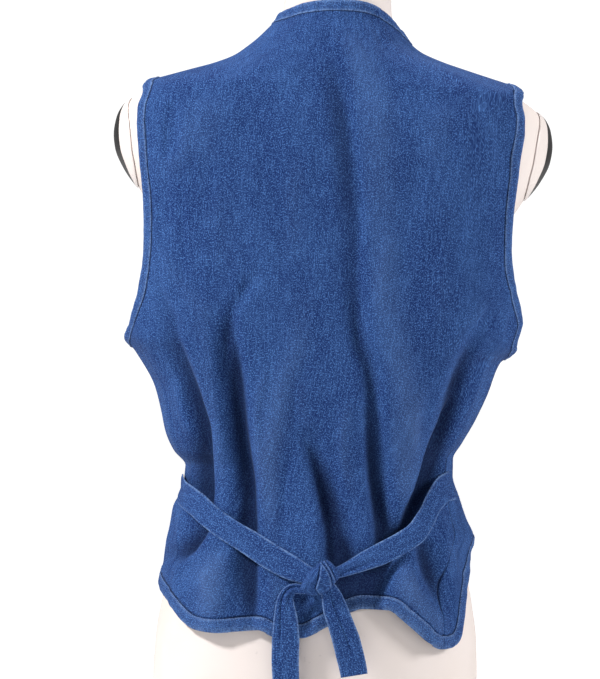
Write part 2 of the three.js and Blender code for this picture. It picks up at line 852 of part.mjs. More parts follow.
function backPanel() {
  const hem = hemSeamPlaces("back", hemBandWidth + hemSeamGap);
  const neck = backNeckShares().map((t) => overFrontEdge(t, neckBindingWidth + seamGap));
  const sideOf = (side, hemCorner, neckCorner) => {
    const armhole = armholePlaces(side, false, armholeBindingWidth + seamGap);
    return [
      ...sideSeamPlaces(side, false, hemCorner, armhole[0]),
      ...armhole,
      ...shoulderPlaces(side, armhole[armhole.length - 1], neckCorner),
    ];
  };
  const left = sideOf("left", hem[0], neck[0]);
  const right = sideOf("right", hem[columnsAcrossBack], neck[columnsAcrossBack]);
  const middle = columnsAcrossBack / 2;
  const atShoulder = rowsAlongSideSeam + rowsAlongArmhole;
  const middleHeights = [hem[middle].z, backChestHeight, backShoulderHeight, neck[middle].z];
  const plainHeight = (j, i) => {
    const share = i / middle - 1;
    const edge = share < 0 ? left[j].z : right[j].z;
    return mix(inParts(middleHeights, j), edge, share * share);
  };
  const plainTurn = (j, i) => {
    const share = i / middle - 1;
    return share < 0 ? -share * left[j].turn : share * right[j].turn;
  };
  const places = [];
  for (let j = 0; j <= totalRows; j += 1) {
    const hemShare = Math.max(1 - j / rowsAlongSideSeam, 0) ** hemFollow;
    const neckFrom = atShoulder - neckFollowRows;
    const neckPull = Math.max((j - neckFrom) / (totalRows - neckFrom), 0) ** neckFollow;
    places.push(
      hem.map((_, i) => {
        if (j === 0) return hem[i];
        if (j === totalRows) return neck[i];
        const hemPart = (hem[i].z - plainHeight(0, i)) * hemShare;
        const neckPart = (neck[i].z - plainHeight(totalRows, i)) * neckPull;
        const hemTurnPart = (hem[i].turn - plainTurn(0, i)) * hemShare;
        const neckTurnPart = (neck[i].turn - plainTurn(totalRows, i)) * neckPull;
        return {
          turn: plainTurn(j, i) + hemTurnPart + neckTurnPart,
          z: plainHeight(j, i) + hemPart + neckPart,
        };
      }),
    );
  }
  return panel(places, "back");
}

// A place on a front's row, which leaves the armhole level and falls or rises towards the front edge
const onFrontRow = (outside, inside, share) => ({
  turn: mix(outside.turn, inside.turn, share),
  z: mix(outside.z, inside.z, share ** rowBend),
});

function frontPanel(side) {
  const shares = frontEdgeShares(side);
  const length = neckBindingWidth + seamGap;
  const front = shares.upFront.map((t) => overFrontEdge(t, length));
  const top = shares.acrossTop.map((t) => overFrontEdge(t, length));
  const hem = hemSeamPlaces(side, hemBandWidth + hemSeamGap);
  front[0] = hem[columnsAcrossFront];
  const armhole = armholePlaces(side, true, armholeBindingWidth + seamGap);
  const sideEdge = [
    ...sideSeamPlaces(side, true, hem[0], armhole[0]),
    ...armhole,
    ...shoulderPlaces(side, armhole[armhole.length - 1], top[0]),
  ];
  const places = [];
  for (let j = 0; j <= totalRows; j += 1) {
    const hemShare = Math.max(1 - j / rowsAlongSideSeam, 0);
    places.push(
      hem.map((low, i) => {
        const share = i / columnsAcrossFront;
        if (j === 0) return low;
        if (j === totalRows) return top[i];
        const plain = onFrontRow(sideEdge[j], front[j], share);
        const plainHem = onFrontRow(hem[0], hem[columnsAcrossFront], share);
        return {
          turn: plain.turn + (low.turn - plainHem.turn) * hemShare,
          z: plain.z + (low.z - plainHem.z) * hemShare,
        };
      }),
    );
  }
  return panel(places, `front_${side}`);
}

// Bindings and bands: a strip between the cloth's free edge and the seam, a little raised

function bindingSections(edges, seams) {
  return edges.map((edge, k) => [
    raised(edge, bindingRaise * bindingEdgeShare),
    raised(seams[k], bindingRaise),
    raised(seams[k], bindingRaise - bindingThickness),
    raised(edge, bindingRaise * bindingEdgeShare - bindingThickness),
  ]);
}

function armholeBinding(side) {
  const around = (length) => [
    ...armholePlaces(side, false, length),
    ...armholePlaces(side, true, length).reverse(),
  ];
  return sweep(bindingSections(around(0), around(armholeBindingWidth)), true, `binding_armhole_${side}`);
}

function neckBinding() {
  const left = frontEdgeShares("left");
  const right = frontEdgeShares("right");
  const shares = [
    left.hemEnd,
    ...left.upFront,
    ...left.acrossTop.slice(0, -1).reverse(),
    ...backNeckShares(),
    ...right.acrossTop.slice(0, -1),
    ...right.upFront.slice().reverse(),
    right.hemEnd,
  ];
  const at = (length) => shares.map((t) => overFrontEdge(t, length));
  return sweep(bindingSections(at(0), at(neckBindingWidth)), false, "binding_neck_and_fronts");
}

// Both fronts have bands that run towards smaller turns
function hemBand(piece, name) {
  const turns = hemTurns(piece);
  const edges = turns.map((turn) => ({ turn, z: hemHeight(turn) }));
  const seams = hemSeamPlaces(piece, hemBandWidth);
  const sections = bindingSections(edges, seams);
  return sweep(piece === "right" ? sections.reverse() : sections, false, name);
}

// The ties: strips of double cloth on the back, a knot and two hanging ends

function knotSurface(grow) {
  const around = 20;
  const levels = 12;
  const base = sectionPoint(vestSections, turnAt(knotPlace.x, knotPlace.z), knotPlace.z);
  const centre = new THREE.Vector3(
    knotPlace.x,
    base.y - tieLift - knotRadius.y,
    knotPlace.z,
  );
  const sections = [];
  for (let j = 0; j <= levels; j += 1) {
    const polar = mix(0.06, Math.PI - 0.06, j / levels);
    const ring = [];
    for (let i = 0; i < around; i += 1) {
      const angle = (2 * Math.PI * i) / around;
      const wraps = 1 + 0.075 * Math.sin(3 * angle + 4 * polar) * Math.sin(polar);
      ring.push(
        new THREE.Vector3(
          centre.x + (knotRadius.x * wraps + grow) * Math.sin(polar) * Math.cos(angle),
          centre.y + Math.min((knotRadius.y * wraps + grow) * Math.sin(polar) * Math.sin(angle),
            knotRadius.y + grow),
          centre.z - (knotRadius.z + grow) * Math.cos(polar),
        ),
      );
    }
    sections.push(ring);
  }
  return sweep(sections, false, "tie_knot");
}

// A tie lies on the cloth from its side seam to the knot
function tieOnCloth(rows, name) {
  const line = new BodyLine(rows.map(({ x, z }) => ({ turn: turnAt(x, z), z })));
  const steps = 2 * (rows.length - 1);
  const lift = (place, height) => {
    const body = sectionPoint(vestSections, place.turn, place.z);
    return body.addScaledVector(levelNormal(place.turn, place.z), height);
  };
  const sections = [];
  for (let k = 0; k <= steps; k += 1) {
    const t = k / steps;
    const middle = line.at(t);
    const x = sectionPoint(vestSections, middle.turn, middle.z).x;
    const sorted = rows[0].x < rows[1].x ? rows : [...rows].reverse();
    const half = along(sorted, "x", x, "half");
    const rise = tieLift + along(sorted, "x", x, "lift");
    const [low, high] = [line.moved(t, -half), line.moved(t, half)];
    sections.push([
      lift(low, rise),
      lift(middle, rise),
      lift(high, rise),
      lift(high, rise + tieThickness * tieEdgeShare),
      lift(middle, rise + tieThickness),
      lift(low, rise + tieThickness * tieEdgeShare),
    ]);
  }
  return cutByKnot(sweep(sections, false, name));
}

function cutByKnot(strip) {
  const cut = solidOf(strip).subtract(solidOf(knotSurface(seamGap)));
  return meshOf(cut, strip.name, denimColour, 0.92);
}

// A hanging end falls straight from the level of the hem
function tieEnd(rows, name) {
  const steps = 2;
  const lengths = rows.map((row) => new THREE.Vector3(row.x, row.z, 0));
  const path = new THREE.CatmullRomCurve3(lengths, false, "centripetal");
  const count = (rows.length - 1) * steps;
  const sections = [];
  for (let k = 0; k <= count; k += 1) {
    const t = k / count;
    const spot = path.getPoint(t);
    const tangent = path.getTangent(t);
    const row = t * (rows.length - 1);
    const low = Math.min(Math.floor(row), rows.length - 2);
    const half = mix(rows[low].half, rows[low + 1].half, row - low);
    const lift = mix(rows[low].lift, rows[low + 1].lift, row - low);
    const point = (share, height) => {
      const x = spot.x - tangent.y * half * share;
      const z = spot.y + tangent.x * half * share;
      const restZ = Math.max(z, tailTopOfHem);
      const turn = turnAt(x, restZ);
      const body = sectionPoint(vestSections, turn, restZ);
      const normal = levelNormal(turn, restZ);
      if (restZ !== z) body.z = z;
      return body.addScaledVector(normal, tieLift + lift + height);
    };
    sections.push([
      point(-1, 0),
      point(0, 0),
      point(1, 0),
      point(1, tieThickness * tieEdgeShare),
      point(0, tieThickness),
      point(-1, tieThickness * tieEdgeShare),
    ]);
  }
  return cutByKnot(sweep(sections, false, name));
}

// The dress form

function formBody() {
  const sections = formSections.map(({ z }) =>
    Array.from({ length: formSegments }, (_, i) => formPoint((360 * i) / formSegments - 180, z)),
  );
  return sweep(sections, false, "form_body", formColour, 0.8);
}

function formNeckCap() {
  const rows = [
    { rise: seamGap, scale: 0.95 },
    { rise: 2.5, scale: 1.0 },
    { rise: 5.5, scale: 0.97 },
    { rise: 7.5, scale: 0.84 },
    { rise: 8.5, scale: 0.5 },
  ];
  const middle = formPoint(90, neckTop).y;
  const sections = rows.map(({ rise, scale }) =>
    Array.from({ length: formSegments }, (_, i) => {
      const point = formPoint((360 * i) / formSegments - 180, neckTop);
      return new THREE.Vector3(point.x * scale, middle + (point.y - middle) * scale, neckTop + rise);
    }),
  );
  return sweep(sections, false, "form_neck_cap", formColour, 0.8);
}

// A domed black plate over the end of each shoulder, following the form's side
function formArmPlate(side) {
  const sign = side === "left" ? -1 : 1;
  const around = 24;
  const rings = 5;
  const sidePoint = (y, z) => {
    const turn = solve(20, 160, (angle) => formPoint(angle, z).y < y);
    return formPoint(turn, z);
  };
  const face = (height) => {
    const sections = [];
    for (let j = 1; j <= rings; j += 1) {
      const share = j / rings;
      sections.push(
        Array.from({ length: around }, (_, i) => {
          const angle = (2 * Math.PI * i) / around;
          const y = armPlate.y + armPlate.halfDepth * share * Math.cos(angle);
          const z = armPlate.z + armPlate.halfHeight * share * Math.sin(angle);
          const point = sidePoint(y, z);
          point.x = sign * (point.x + height(share));
          return point;
        }),
      );
    }
    return sections;
  };
  const outer = face((share) => armPlate.seat + armPlate.rim + armPlate.dome * (1 - share * share));
  const inner = face(() => armPlate.seat);
  return sweep([...inner, ...outer.reverse()], false, `form_arm_plate_${side}`, trimColour, 0.5);
}

const vest = new THREE.Group();
vest.add(
  backPanel(),
  frontPanel("left"),
  frontPanel("right"),
  neckBinding(),
  armholeBinding("left"),
  armholeBinding("right"),
  hemBand("back", "hem_band_back"),
  hemBand("left", "hem_band_front_left"),
  hemBand("right", "hem_band_front_right"),
  tieOnCloth(leftTie, "tie_left"),
  tieOnCloth(rightTie, "tie_right"),
  knotSurface(0),
  tieEnd(leftTail, "tie_end_left"),
  tieEnd(rightTail, "tie_end_right"),
  formBody(),
  formNeckCap(),
  formArmPlate("left"),
  formArmPlate("right"),
);

export default vest;
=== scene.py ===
"""A sleeveless denim vest, tied behind at the waist, worn by a limbless dress form.

Metres, +Z up, the floor at z = 0. The garment's back faces -Y and the wearer's right is +X.
Every cloth piece is cut from one surface: a stack of body sections, in turn degrees and height.
Turn 0 is the middle of the back, 90 the right side, -90 the left side, 180 the middle of the front.
Tables and shapes are worked out in millimetres, and a mesh is made in metres.
"""

import bmesh
import bpy
import numpy as np
from mathutils import Matrix, Vector


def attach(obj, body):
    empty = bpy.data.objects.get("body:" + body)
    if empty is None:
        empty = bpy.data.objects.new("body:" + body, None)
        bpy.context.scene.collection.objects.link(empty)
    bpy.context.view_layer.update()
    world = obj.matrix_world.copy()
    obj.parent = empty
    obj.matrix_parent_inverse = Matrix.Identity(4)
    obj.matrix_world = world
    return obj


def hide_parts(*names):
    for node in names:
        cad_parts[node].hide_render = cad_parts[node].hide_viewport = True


bl_info = {
    "name": "Denim vest on a dress form",
    "version": (1, 0, 0),
    "blender": (4, 5, 0),
    "location": "3D View > Sidebar > Vest",
    "description": "Builds a denim vest with bound edges and waist ties, on a limbless dress form",
    "category": "Add Mesh",
}

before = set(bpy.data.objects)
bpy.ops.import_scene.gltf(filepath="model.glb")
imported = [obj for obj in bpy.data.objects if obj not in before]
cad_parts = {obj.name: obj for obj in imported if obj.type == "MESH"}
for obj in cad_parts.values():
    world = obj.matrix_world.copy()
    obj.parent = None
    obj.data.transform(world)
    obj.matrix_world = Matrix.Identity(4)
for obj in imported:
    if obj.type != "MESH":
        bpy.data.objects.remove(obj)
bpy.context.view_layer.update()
METRE = 0.001

# Driving sizes, in millimetres
ARMHOLE_BINDING_WIDTH = 12
NECK_BINDING_WIDTH = 12
HEM_BAND_WIDTH = 14
KNOT = {"x": 9.7, "z": 223}
NECK_TOP = 858
ARM_PLATE = {"y": -3, "z": 650, "half_depth": 40, "half_height": 45,
             "seat": 1.05, "lip": 0.25, "rim": 1.2, "dome": 5}
ARM_CAP = {"depth": 0.6, "height": 0.93, "blend": 0.03}
BUST = {"x": 72, "z": 535, "height": 12, "spread": 42}
FRONT_TOP_LENGTH = 16
LEFT_SEAM_TURN = -90
SIGN = {"left": -1, "right": 1}

# How near the cloth may come to the form, and the share of that room where a push begins to ease
CLEAR_OF_FORM = 3.0
LEAST_ROOM = 0.1
SOFT_STOP = 0.6
# Half the depth at the sides over which the folds behind give way to those in front
SIDE_BLEND = 14

# Bindings: height, how much the crown swells over it, puckers of an armhole, share of the cloth's
# painted fold shade and ridge highlight, and how far the seam runs over the panel
BINDING_RAISE = 0.8
CROWN_SWELL = 1.7
ARMHOLE_PUCKER = 1.2
BINDING_FOLD_SHADE_SHARE = 0.7
SEAM_OVERLAP = 0.9
# Stitches: how far inside the seam they lie, and their height over the cloth
STITCH_INSET = 0.9
STITCH_HEIGHT = 0.85
STITCH_SIDES = 6
# Scales a place to point away from the body's middle, which is narrower from front to back
BODY_ROUNDNESS = np.array([1, 1.4, 0])

# Ties: thickness, height over the body, how far out their stitches lie, and the half widths between
# which pleats form. Under a height the ends hang straight
TIE_THICKNESS = 2.2
TIE_LIFT = 0.4
STITCHED_DIP = 0.8
PLEATED_HALF = 7.0
PLEATED_END_HALF = 6.0
FLAT_HALF = 12.0
HANG_HEIGHT = 188
# How far above and below a tie its hold on the cloth is full and gone, and how far it goes past it
TIE_PRESS = {"full": 16, "none": 36, "beyond": 27}

# Creases: how much they bow, and the shares of their length where they rise and fade
CREASE_BOW = 0.06
CREASE_RISE = (-0.12, 0.25)
CREASE_FADE = (0.7, 1.12)

# Lines over the body: run per degree of turn, points in each stretch, share to look ahead, and
# steps of a move aside
TURN_SCALE = 2.2
CURVE_POINTS = 60
LOOK_AHEAD = 0.002
MOVE_STEPS = 6
# Steps in turn and height to measure a slope, and halvings to find a place
TURN_STEP = 0.4
HALF_DEGREE = 0.5
HEIGHT_STEP = 0.8
HALVINGS = 40

# Rows and columns of each piece
BACK_GRID = (226, 181)
FRONT_GRID = (200, 84)
KNOT_GRID = (110, 160)
FREE_EDGE_POINTS = 640
ARMHOLE_POINTS = 300
ARMHOLE_STITCH_POINTS = 500
HEM_POINTS = {"back": 260, "front_left": 110, "front_right": 150}
FORM_ROWS = {"low": 90, "high": 130, "change": 560}
FORM_AROUND = 144
ARM_PLATE_GRID = (26, 96)
ARM_PLATE_FIRST_RING = 0.04

# Heights of a panel's middle at the rows of the armhole's foot and tip
FRONT_CHEST_HEIGHT = 422
FRONT_COLLARBONE_HEIGHT = 704
BACK_CHEST_HEIGHT = 452
BACK_SHOULDER_HEIGHT = 738
# Row values of each stretch from hem to top, the shares of the rows that the lower two take, and
# how the rows bend between the panel's edges
SIDE_SEAM_ROWS = 16
ARMHOLE_ROWS = 12
SHOULDER_ROWS = 7
TIP_ROW = SIDE_SEAM_ROWS + ARMHOLE_ROWS
ALL_ROWS = TIP_ROW + SHOULDER_ROWS
HEM_ROW_SHARE = 0.44
ARMHOLE_ROW_SHARE = 0.37
ROW_BEND = 1.8
NECK_PULL_ROWS = 5
PULL_BEND = 1.5
# A nudge off the armhole line's ends, and the share of a hem at each end that keeps its turn
ARMHOLE_NUDGE = 0.0005
HEM_END_SHARE = 0.08
LONGEST_FRONT_SHARE = 0.35


def table(columns, rows):
    """Columns of a short table as arrays, by name."""
    return {name: np.array([row[i] for row in rows], float) for i, name in enumerate(columns)}


def fold(left, right, points):
    """A fold: its width to the left and right of a line, and points x, z and push along the line."""
    return {"left": left, "right": right, "line": table(("x", "z", "push"), points[::-1])}


# Sections of the worn vest: height, half width to the left and right, depth behind and in front
# of the side points, where those lie in y, and how square the section is
VEST_SECTIONS = table(("z", "left", "right", "back", "front", "mid", "square"), [
    (140, 161, 166, 134, 118, 0, 0.1), (175, 160.5, 164, 133, 118, 0, 0.1),
    (203, 159.3, 160, 130, 118, 0, 0.1), (230, 156.5, 154.5, 125, 116, 0, 0.1),
    (253, 154.5, 151.5, 119, 114, 0, 0.1), (268, 150.8, 153.4, 116, 113, 0, 0.1),
    (288, 147.8, 145, 111, 112, 0, 0.1), (310, 139.6, 137.4, 107.5, 113, 0, 0.1),
    (330, 139.5, 131, 106, 114, 0, 0.1), (345, 149.5, 131.2, 106, 116, 0, 0.1),
    (362, 157.3, 139, 107, 119, 0, 0.1), (385, 163.2, 151.5, 108.5, 124, 0, 0.11),
    (410, 171, 162.5, 110.5, 130, 0, 0.12), (442, 190, 174, 112.5, 136, 0, 0.12),
    (458, 202, 192, 113.5, 138, 0, 0.12), (485, 204.5, 200.5, 115, 141, 0, 0.12),
    (540, 207, 205.5, 116.5, 141, 0, 0.12), (600, 211, 210, 117, 130, 0, 0.12),
    (640, 215, 214, 115, 115, -1, 0.12), (665, 216, 216, 111.5, 104, -2, 0.11),
    (685, 213, 213, 106.5, 93, -4, 0.1), (698, 207, 208, 101.5, 85, -5, 0.09),
    (706, 200, 204, 98, 80, -6, 0.08), (712, 189, 197, 95.5, 77, -7, 0.08),
    (716, 177, 188, 93.8, 75, -8, 0.07), (721, 160.5, 174, 91.6, 72.5, -8, 0.07),
    (726, 144, 157, 89.8, 70, -9, 0.07), (733, 121, 133, 87.4, 66.5, -10, 0.06),
    (742, 100, 104, 84.5, 62.5, -10, 0.06), (750, 89, 85, 82, 59, -10, 0.05),
    (759, 78.5, 73.5, 78.7, 56, -9, 0.05), (770, 68, 65.5, 74.2, 52.2, -9, 0.04),
    (780, 59.5, 60.5, 70.2, 49.4, -8, 0.03), (792, 57, 57.5, 66.6, 47.6, -8, 0.02),
    (815, 56, 56.5, 64.6, 47, -7, 0.02),
])
FORM_SECTIONS = table(("z", "left", "right", "back", "front", "mid", "square"), [
    (0, 156, 156, 110, 97, 0, 0.08), (35, 159.5, 159.5, 116, 101.5, 0, 0.08),
    (78, 161.6, 161.6, 120.5, 104.2, 0, 0.08), (120, 162, 162, 122, 105, 0, 0.08),
    (165, 160, 160, 121, 105, 0, 0.08), (200, 154.6, 154.6, 117, 104, 0, 0.08),
    (228, 149, 149, 111.5, 102, 0, 0.08), (256, 142, 142, 104, 99.5, 0, 0.08),
    (285, 131.5, 131.5, 94.5, 96, 0, 0.08), (312, 122.5, 122.5, 85, 93.5, 0, 0.08),
    (335, 119.5, 119.5, 80, 93, 0, 0.08), (362, 121, 121, 80, 95.5, 0, 0.08),
    (400, 128, 128, 86.5, 102.5, 0, 0.08), (440, 137, 137, 94.5, 111.5, 0, 0.08),
    (480, 145, 145, 101.5, 120.5, 0, 0.08), (520, 152, 152, 106.5, 126, 0, 0.08),
    (550, 160, 160, 109.5, 126, 0, 0.09), (577, 174, 174, 111.5, 122, 0, 0.1),
    (602, 190, 190, 112, 115, 0, 0.1), (625, 203, 203, 111, 107, 0, 0.1),
    (645, 210.5, 210.5, 109, 100.5, -1, 0.1), (662, 212.5, 212.5, 106.5, 95, -2, 0.09),
    (676, 211.5, 211.5, 103.5, 88.5, -3, 0.09), (687, 208, 208, 100.5, 83.5, -4, 0.08),
    (695, 201.5, 201.5, 97.5, 79.5, -5, 0.08), (701.5, 193, 193, 95, 76.5, -6, 0.07),
    (708, 181.5, 181.5, 92.5, 73.6, -7, 0.06), (712.5, 164, 164, 90.7, 71.4, -8, 0.06),
    (718, 151, 151, 88.4, 68.6, -8, 0.06), (723, 138, 138, 86.5, 66, -9, 0.06),
    (730, 117.5, 117.5, 84, 62.6, -10, 0.05), (739, 97.5, 97.5, 81, 58.6, -10, 0.05),
    (747, 81.5, 81.5, 78.3, 55.2, -10, 0.04), (756, 70.5, 70.5, 74.8, 52.2, -9, 0.04),
    (767, 62.5, 62.5, 70.4, 48.8, -9, 0.03), (778, 56.5, 56.5, 66, 46.2, -8, 0.02),
    (792, 53.8, 53.8, 62, 44.8, -7, 0.01), (820, 52.6, 52.6, 59.4, 45.6, -5, 0.01),
    (858, 52, 52, 57, 47, -2, 0.01),
])
RIGHT_SIDE_SEAM = table(("z", "turn"), [
    (140, 44), (215, 49), (245, 54.5), (290, 61.5), (321, 66), (345, 74), (380, 82),
    (430, 88.5), (446, 90),
])
ARMHOLE_LEFT = table(("z", "back", "front"), [
    (466, 199, 196), (484, 194, 186), (506, 189, 178), (540, 185, 172), (580, 185.5, 170),
    (620, 190.5, 172), (655, 194.5, 176), (682, 195.5, 180), (701, 191.5, 184),
])
ARMHOLE_RIGHT = table(("z", "back", "front"), [
    (465, 190, 188), (484, 194, 184), (512, 188.5, 178), (540, 182.5, 172), (580, 181.5, 170),
    (620, 184, 172), (655, 187.5, 176), (684, 190, 180), (704, 187, 184),
])
FRONT_EDGE_LEFT = table(("z", "x"), [
    (166, -19), (235, -18), (320, -14), (420, -12), (480, -13), (530, -20), (600, -33),
    (670, -45), (715, -53), (742, -57), (765, -59), (780, -57.8),
])
FRONT_EDGE_RIGHT = table(("z", "x"), [
    (166, 19), (235, 18), (320, 14), (420, 12), (480, 13), (530, 20), (600, 33), (670, 45),
    (715, 53), (742, 58), (761, 62.5),
])
NECK_EDGE_BEHIND = table(("turn", "z"), [
    (-90, 783), (-60, 788), (-30, 795), (0, 798), (30, 796.5), (52, 789), (72, 777), (90, 767),
])
HEM_BEHIND = table(("x", "z"), [
    (-157.4, 206), (-152, 198), (-144, 188), (-133, 176.5), (-120, 169.4), (-100, 167.5),
    (-79, 170), (-58, 172), (-40, 165.5), (-15, 166), (8, 176.7), (30, 191), (47, 196.3),
    (70, 196), (83, 187), (97, 175), (111, 163.5), (124, 158.3), (135, 160), (143.7, 170),
    (146.5, 186), (148, 210), (150.5, 232), (150.8, 251),
])
HEM_IN_FRONT = table(("x", "z"), [
    (147, 261), (134, 240), (112, 203), (85, 180), (58, 169), (19, 166), (-19, 166),
    (-58, 169), (-85, 180), (-115, 204), (-140, 217), (-152, 217),
])
HEM_POINTS_ON_RIGHT = 6
LEFT_TIE = table(("x", "z", "half", "lift"), [
    (-140.5, 311, 10.5, -2), (-137, 304, 11.8, -1), (-131, 299, 12.3, 0.2), (-120, 291, 12.5, 0.4),
    (-104, 278, 12, 0), (-86, 267, 12, 0), (-68, 257, 12.5, 0), (-48, 245, 13, 0.5),
    (-30, 236, 12.5, 2), (-16, 230, 10.5, 5), (-4, 226, 8, 9), (8, 224, 6, 10),
])
RIGHT_TIE = table(("x", "z", "half", "lift"), [
    (127.5, 320, 15, 0), (119, 315, 13.5, 0), (111.5, 304, 11.5, 0), (105, 290, 10.5, 0),
    (94, 272, 11, 0), (80, 262, 11, 0), (62, 252, 11, 0.5), (44, 243.5, 9.5, 2),
    (28, 236, 7, 5), (16, 231, 5.5, 9), (8, 228, 5, 10),
])
LEFT_TAIL = table(("x", "z", "half", "lift"), [
    (-4, 214, 4.5, 9.5), (-15, 214.4, 4.8, 9.5), (-24, 214.2, 5.2, 8.5), (-29.8, 208, 6.8, 7.5),
    (-31.2, 198.8, 9, 6.5), (-30.4, 184, 11.7, 5), (-29.8, 164, 13.4, 4), (-29.6, 142, 13.3, 3),
    (-28.1, 119.9, 13, 2), (-26, 96, 12.8, 2.5),
])
RIGHT_TAIL = table(("x", "z", "half", "lift"), [
    (8, 219, 7, 9), (13, 208, 10, 8), (17, 196, 12, 6), (22.5, 182, 12.5, 5),
    (28.5, 166, 13.4, 4), (33.2, 150, 13.6, 3), (36.2, 139, 13.4, 2.5), (37.8, 131, 13.2, 2.5),
])
FOLDS_BEHIND = [
    fold(20, 7, [
        (-172, 512, 0), (-157, 470, -6), (-143, 435, -9), (-128, 395, -12), (-119, 366, -14),
        (-117, 336, -15), (-116, 296, -14), (-117, 271, -10), (-130, 250, -12), (-151, 228, 0),
    ]),
    fold(18, 7, [
        (-99, 498, 0), (-93, 455, -8), (-88, 417, -14), (-83, 371, -17), (-78, 342, -18),
        (-73, 314, -19), (-70, 272, -18), (-68, 235, -16), (-66, 198, -11), (-64, 168, -4),
    ]),
    fold(15, 14, [
        (-128, 506, 0), (-110, 426, 4), (-97, 347, 7), (-86, 297, 5), (-88, 262, 2),
        (-101, 225, 9), (-104, 190, 6), (-105, 166, 3),
    ]),
    fold(14, 10, [
        (-18, 520, 0), (-29, 449, 3), (-40, 419, 4), (-48, 368, 6), (-52, 338, 7),
        (-50, 300, 5), (-46, 262, 1), (-42, 225, 3), (-38, 170, 2),
    ]),
    fold(8, 16, [
        (-20, 376, 0), (-14, 356, -6), (-2, 322, -12), (7, 288, -16), (13, 259, -15),
        (15, 235, -10), (12, 200, -7), (10, 172, -3),
    ]),
    fold(22, 10, [
        (-15, 770, 0), (-4, 728, -6), (8, 675, -9), (16, 620, -9), (23, 560, -7),
        (30, 471, -4), (42, 430, -2), (46, 400, 0),
    ]),
    fold(9, 15, [
        (18, 560, 0), (30, 471, -4), (45, 421, -8), (49, 365, -12), (53, 330, -14),
        (59, 296, -16), (63, 262, -14), (56, 230, -12), (50, 194, -9),
    ]),
    fold(22, 16, [
        (2, 775, 0), (22, 740, 3.5), (40, 690, 4), (46, 621, 3.5), (50, 560, 3),
        (62, 480, 4), (75, 420, 6), (80, 365, 8), (80, 320, 7), (78, 285, 3), (76, 270, 0),
    ]),
    fold(11, 9, [
        (152, 486, 0), (144, 455, -7), (133, 412, -14), (124, 378, -19), (116, 349, -21),
        (107, 320, -20), (95, 297, -18), (86, 272, -13), (70, 245, -12), (58, 222, -10),
        (54, 200, 0),
    ]),
    fold(14, 12, [
        (-134, 700, 0), (-140, 670, 2), (-148, 645, 2.5), (-166, 609, 0),
    ]),
    fold(18, 14, [
        (66, 262, 0), (80, 240, 4), (92, 213, 9), (108, 190, 8), (118, 162, 5),
    ]),
    fold(15, 17, [
        (18, 268, 0), (24, 250, -8), (31, 228, -13), (35, 208, -12), (36, 190, -9), (36, 172, -6),
    ]),
    fold(11, 10, [
        (-14, 216, 0), (-13, 202, -8), (-12, 190, -6), (-10, 172, 0),
    ]),
    fold(12, 11, [
        (104, 274, 0), (106, 258, -10), (113, 234, -12), (121, 210, -7), (126, 190, 0),
    ]),
]
FOLDS_IN_FRONT = [
    fold(18, 14, [
        (-158, 470, 0), (-140, 425, -7), (-127, 375, -13), (-118, 335, -15), (-112, 292, -10),
        (-110, 245, -5), (-108, 205, 0),
    ]),
    fold(20, 18, [
        (-66, 500, 0), (-72, 410, 4), (-76, 340, 7), (-73, 280, 5), (-70, 176, 7),
    ]),
    fold(14, 20, [
        (-30, 440, 0), (-35, 350, -5), (-38, 265, -7), (-40, 172, -4),
    ]),
    fold(16, 12, [
        (30, 455, 0), (31, 370, -4), (30, 285, -8), (33, 172, -5),
    ]),
    fold(18, 18, [
        (58, 500, 0), (66, 400, 3), (71, 330, 7), (67, 262, 5), (62, 176, 6),
    ]),
    fold(13, 18, [
        (152, 480, 0), (136, 430, -7), (122, 382, -13), (112, 338, -14), (106, 292, -9),
        (104, 240, 0),
    ]),
]
# Heights of each armhole's foot and tip
ARMHOLE_ENDS = {"left": (455, 713), "right": (453, 718)}

# Short creases behind: x and z of both ends, half width, and push out or in
CREASES_BEHIND = (
    (-176, 520, -120, 440, 5, -2.7), (-168, 545, -104, 470, 6, 1.4), (-150, 420, -128, 352, 5, 2.7),
    (-98, 470, -100, 400, 5, -2.5), (-60, 430, -62, 330, 5, 2.5), (-30, 352, -34, 262, 5, -2.4),
    (-24, 420, -8, 352, 5, 1.7), (22, 400, 30, 300, 6, 3.1), (28, 300, 34, 258, 4, -2.0),
    (66, 430, 88, 340, 5, -2.0), (98, 420, 86, 350, 6, 2.4), (140, 420, 112, 366, 5, 2.7),
    (160, 505, 118, 432, 6, 2.0), (170, 470, 146, 420, 5, -2.7), (-60, 660, -46, 560, 10, -0.9),
    (-110, 610, -96, 520, 12, 0.9), (90, 650, 84, 540, 12, -0.9), (120, 560, 110, 470, 10, 0.8),
    (-40, 776, -24, 716, 6, -0.9), (2, 780, 14, 724, 5, -0.7), (36, 776, 44, 730, 6, 0.7),
    (-126, 238, -140, 214, 5, -2.2), (-112, 232, -92, 190, 5, 1.7), (-50, 232, -52, 186, 5, -2.4),
    (24, 236, 22, 200, 5, 2.0), (98, 236, 108, 186, 4, -2.0), (128, 268, 134, 214, 4, 2.2),
    (140, 262, 146, 226, 4, -1.7), (-132, 300, -140, 262, 4, 2.0),
    (-160, 694, -157, 636, 8, -4.0), (171, 700, 173, 636, 8, -4.0), (-70, 524, -106, 448, 7, -3.2),
    (-66, 698, -92, 630, 15, -2.2), (110, 696, 96, 630, 13, 1.8), (-112, 694, -128, 630, 12, 1.6),
    (62, 566, 52, 484, 8, 2.2), (-30, 640, -36, 540, 11, 1.6), (130, 600, 128, 520, 12, -2.0),
)
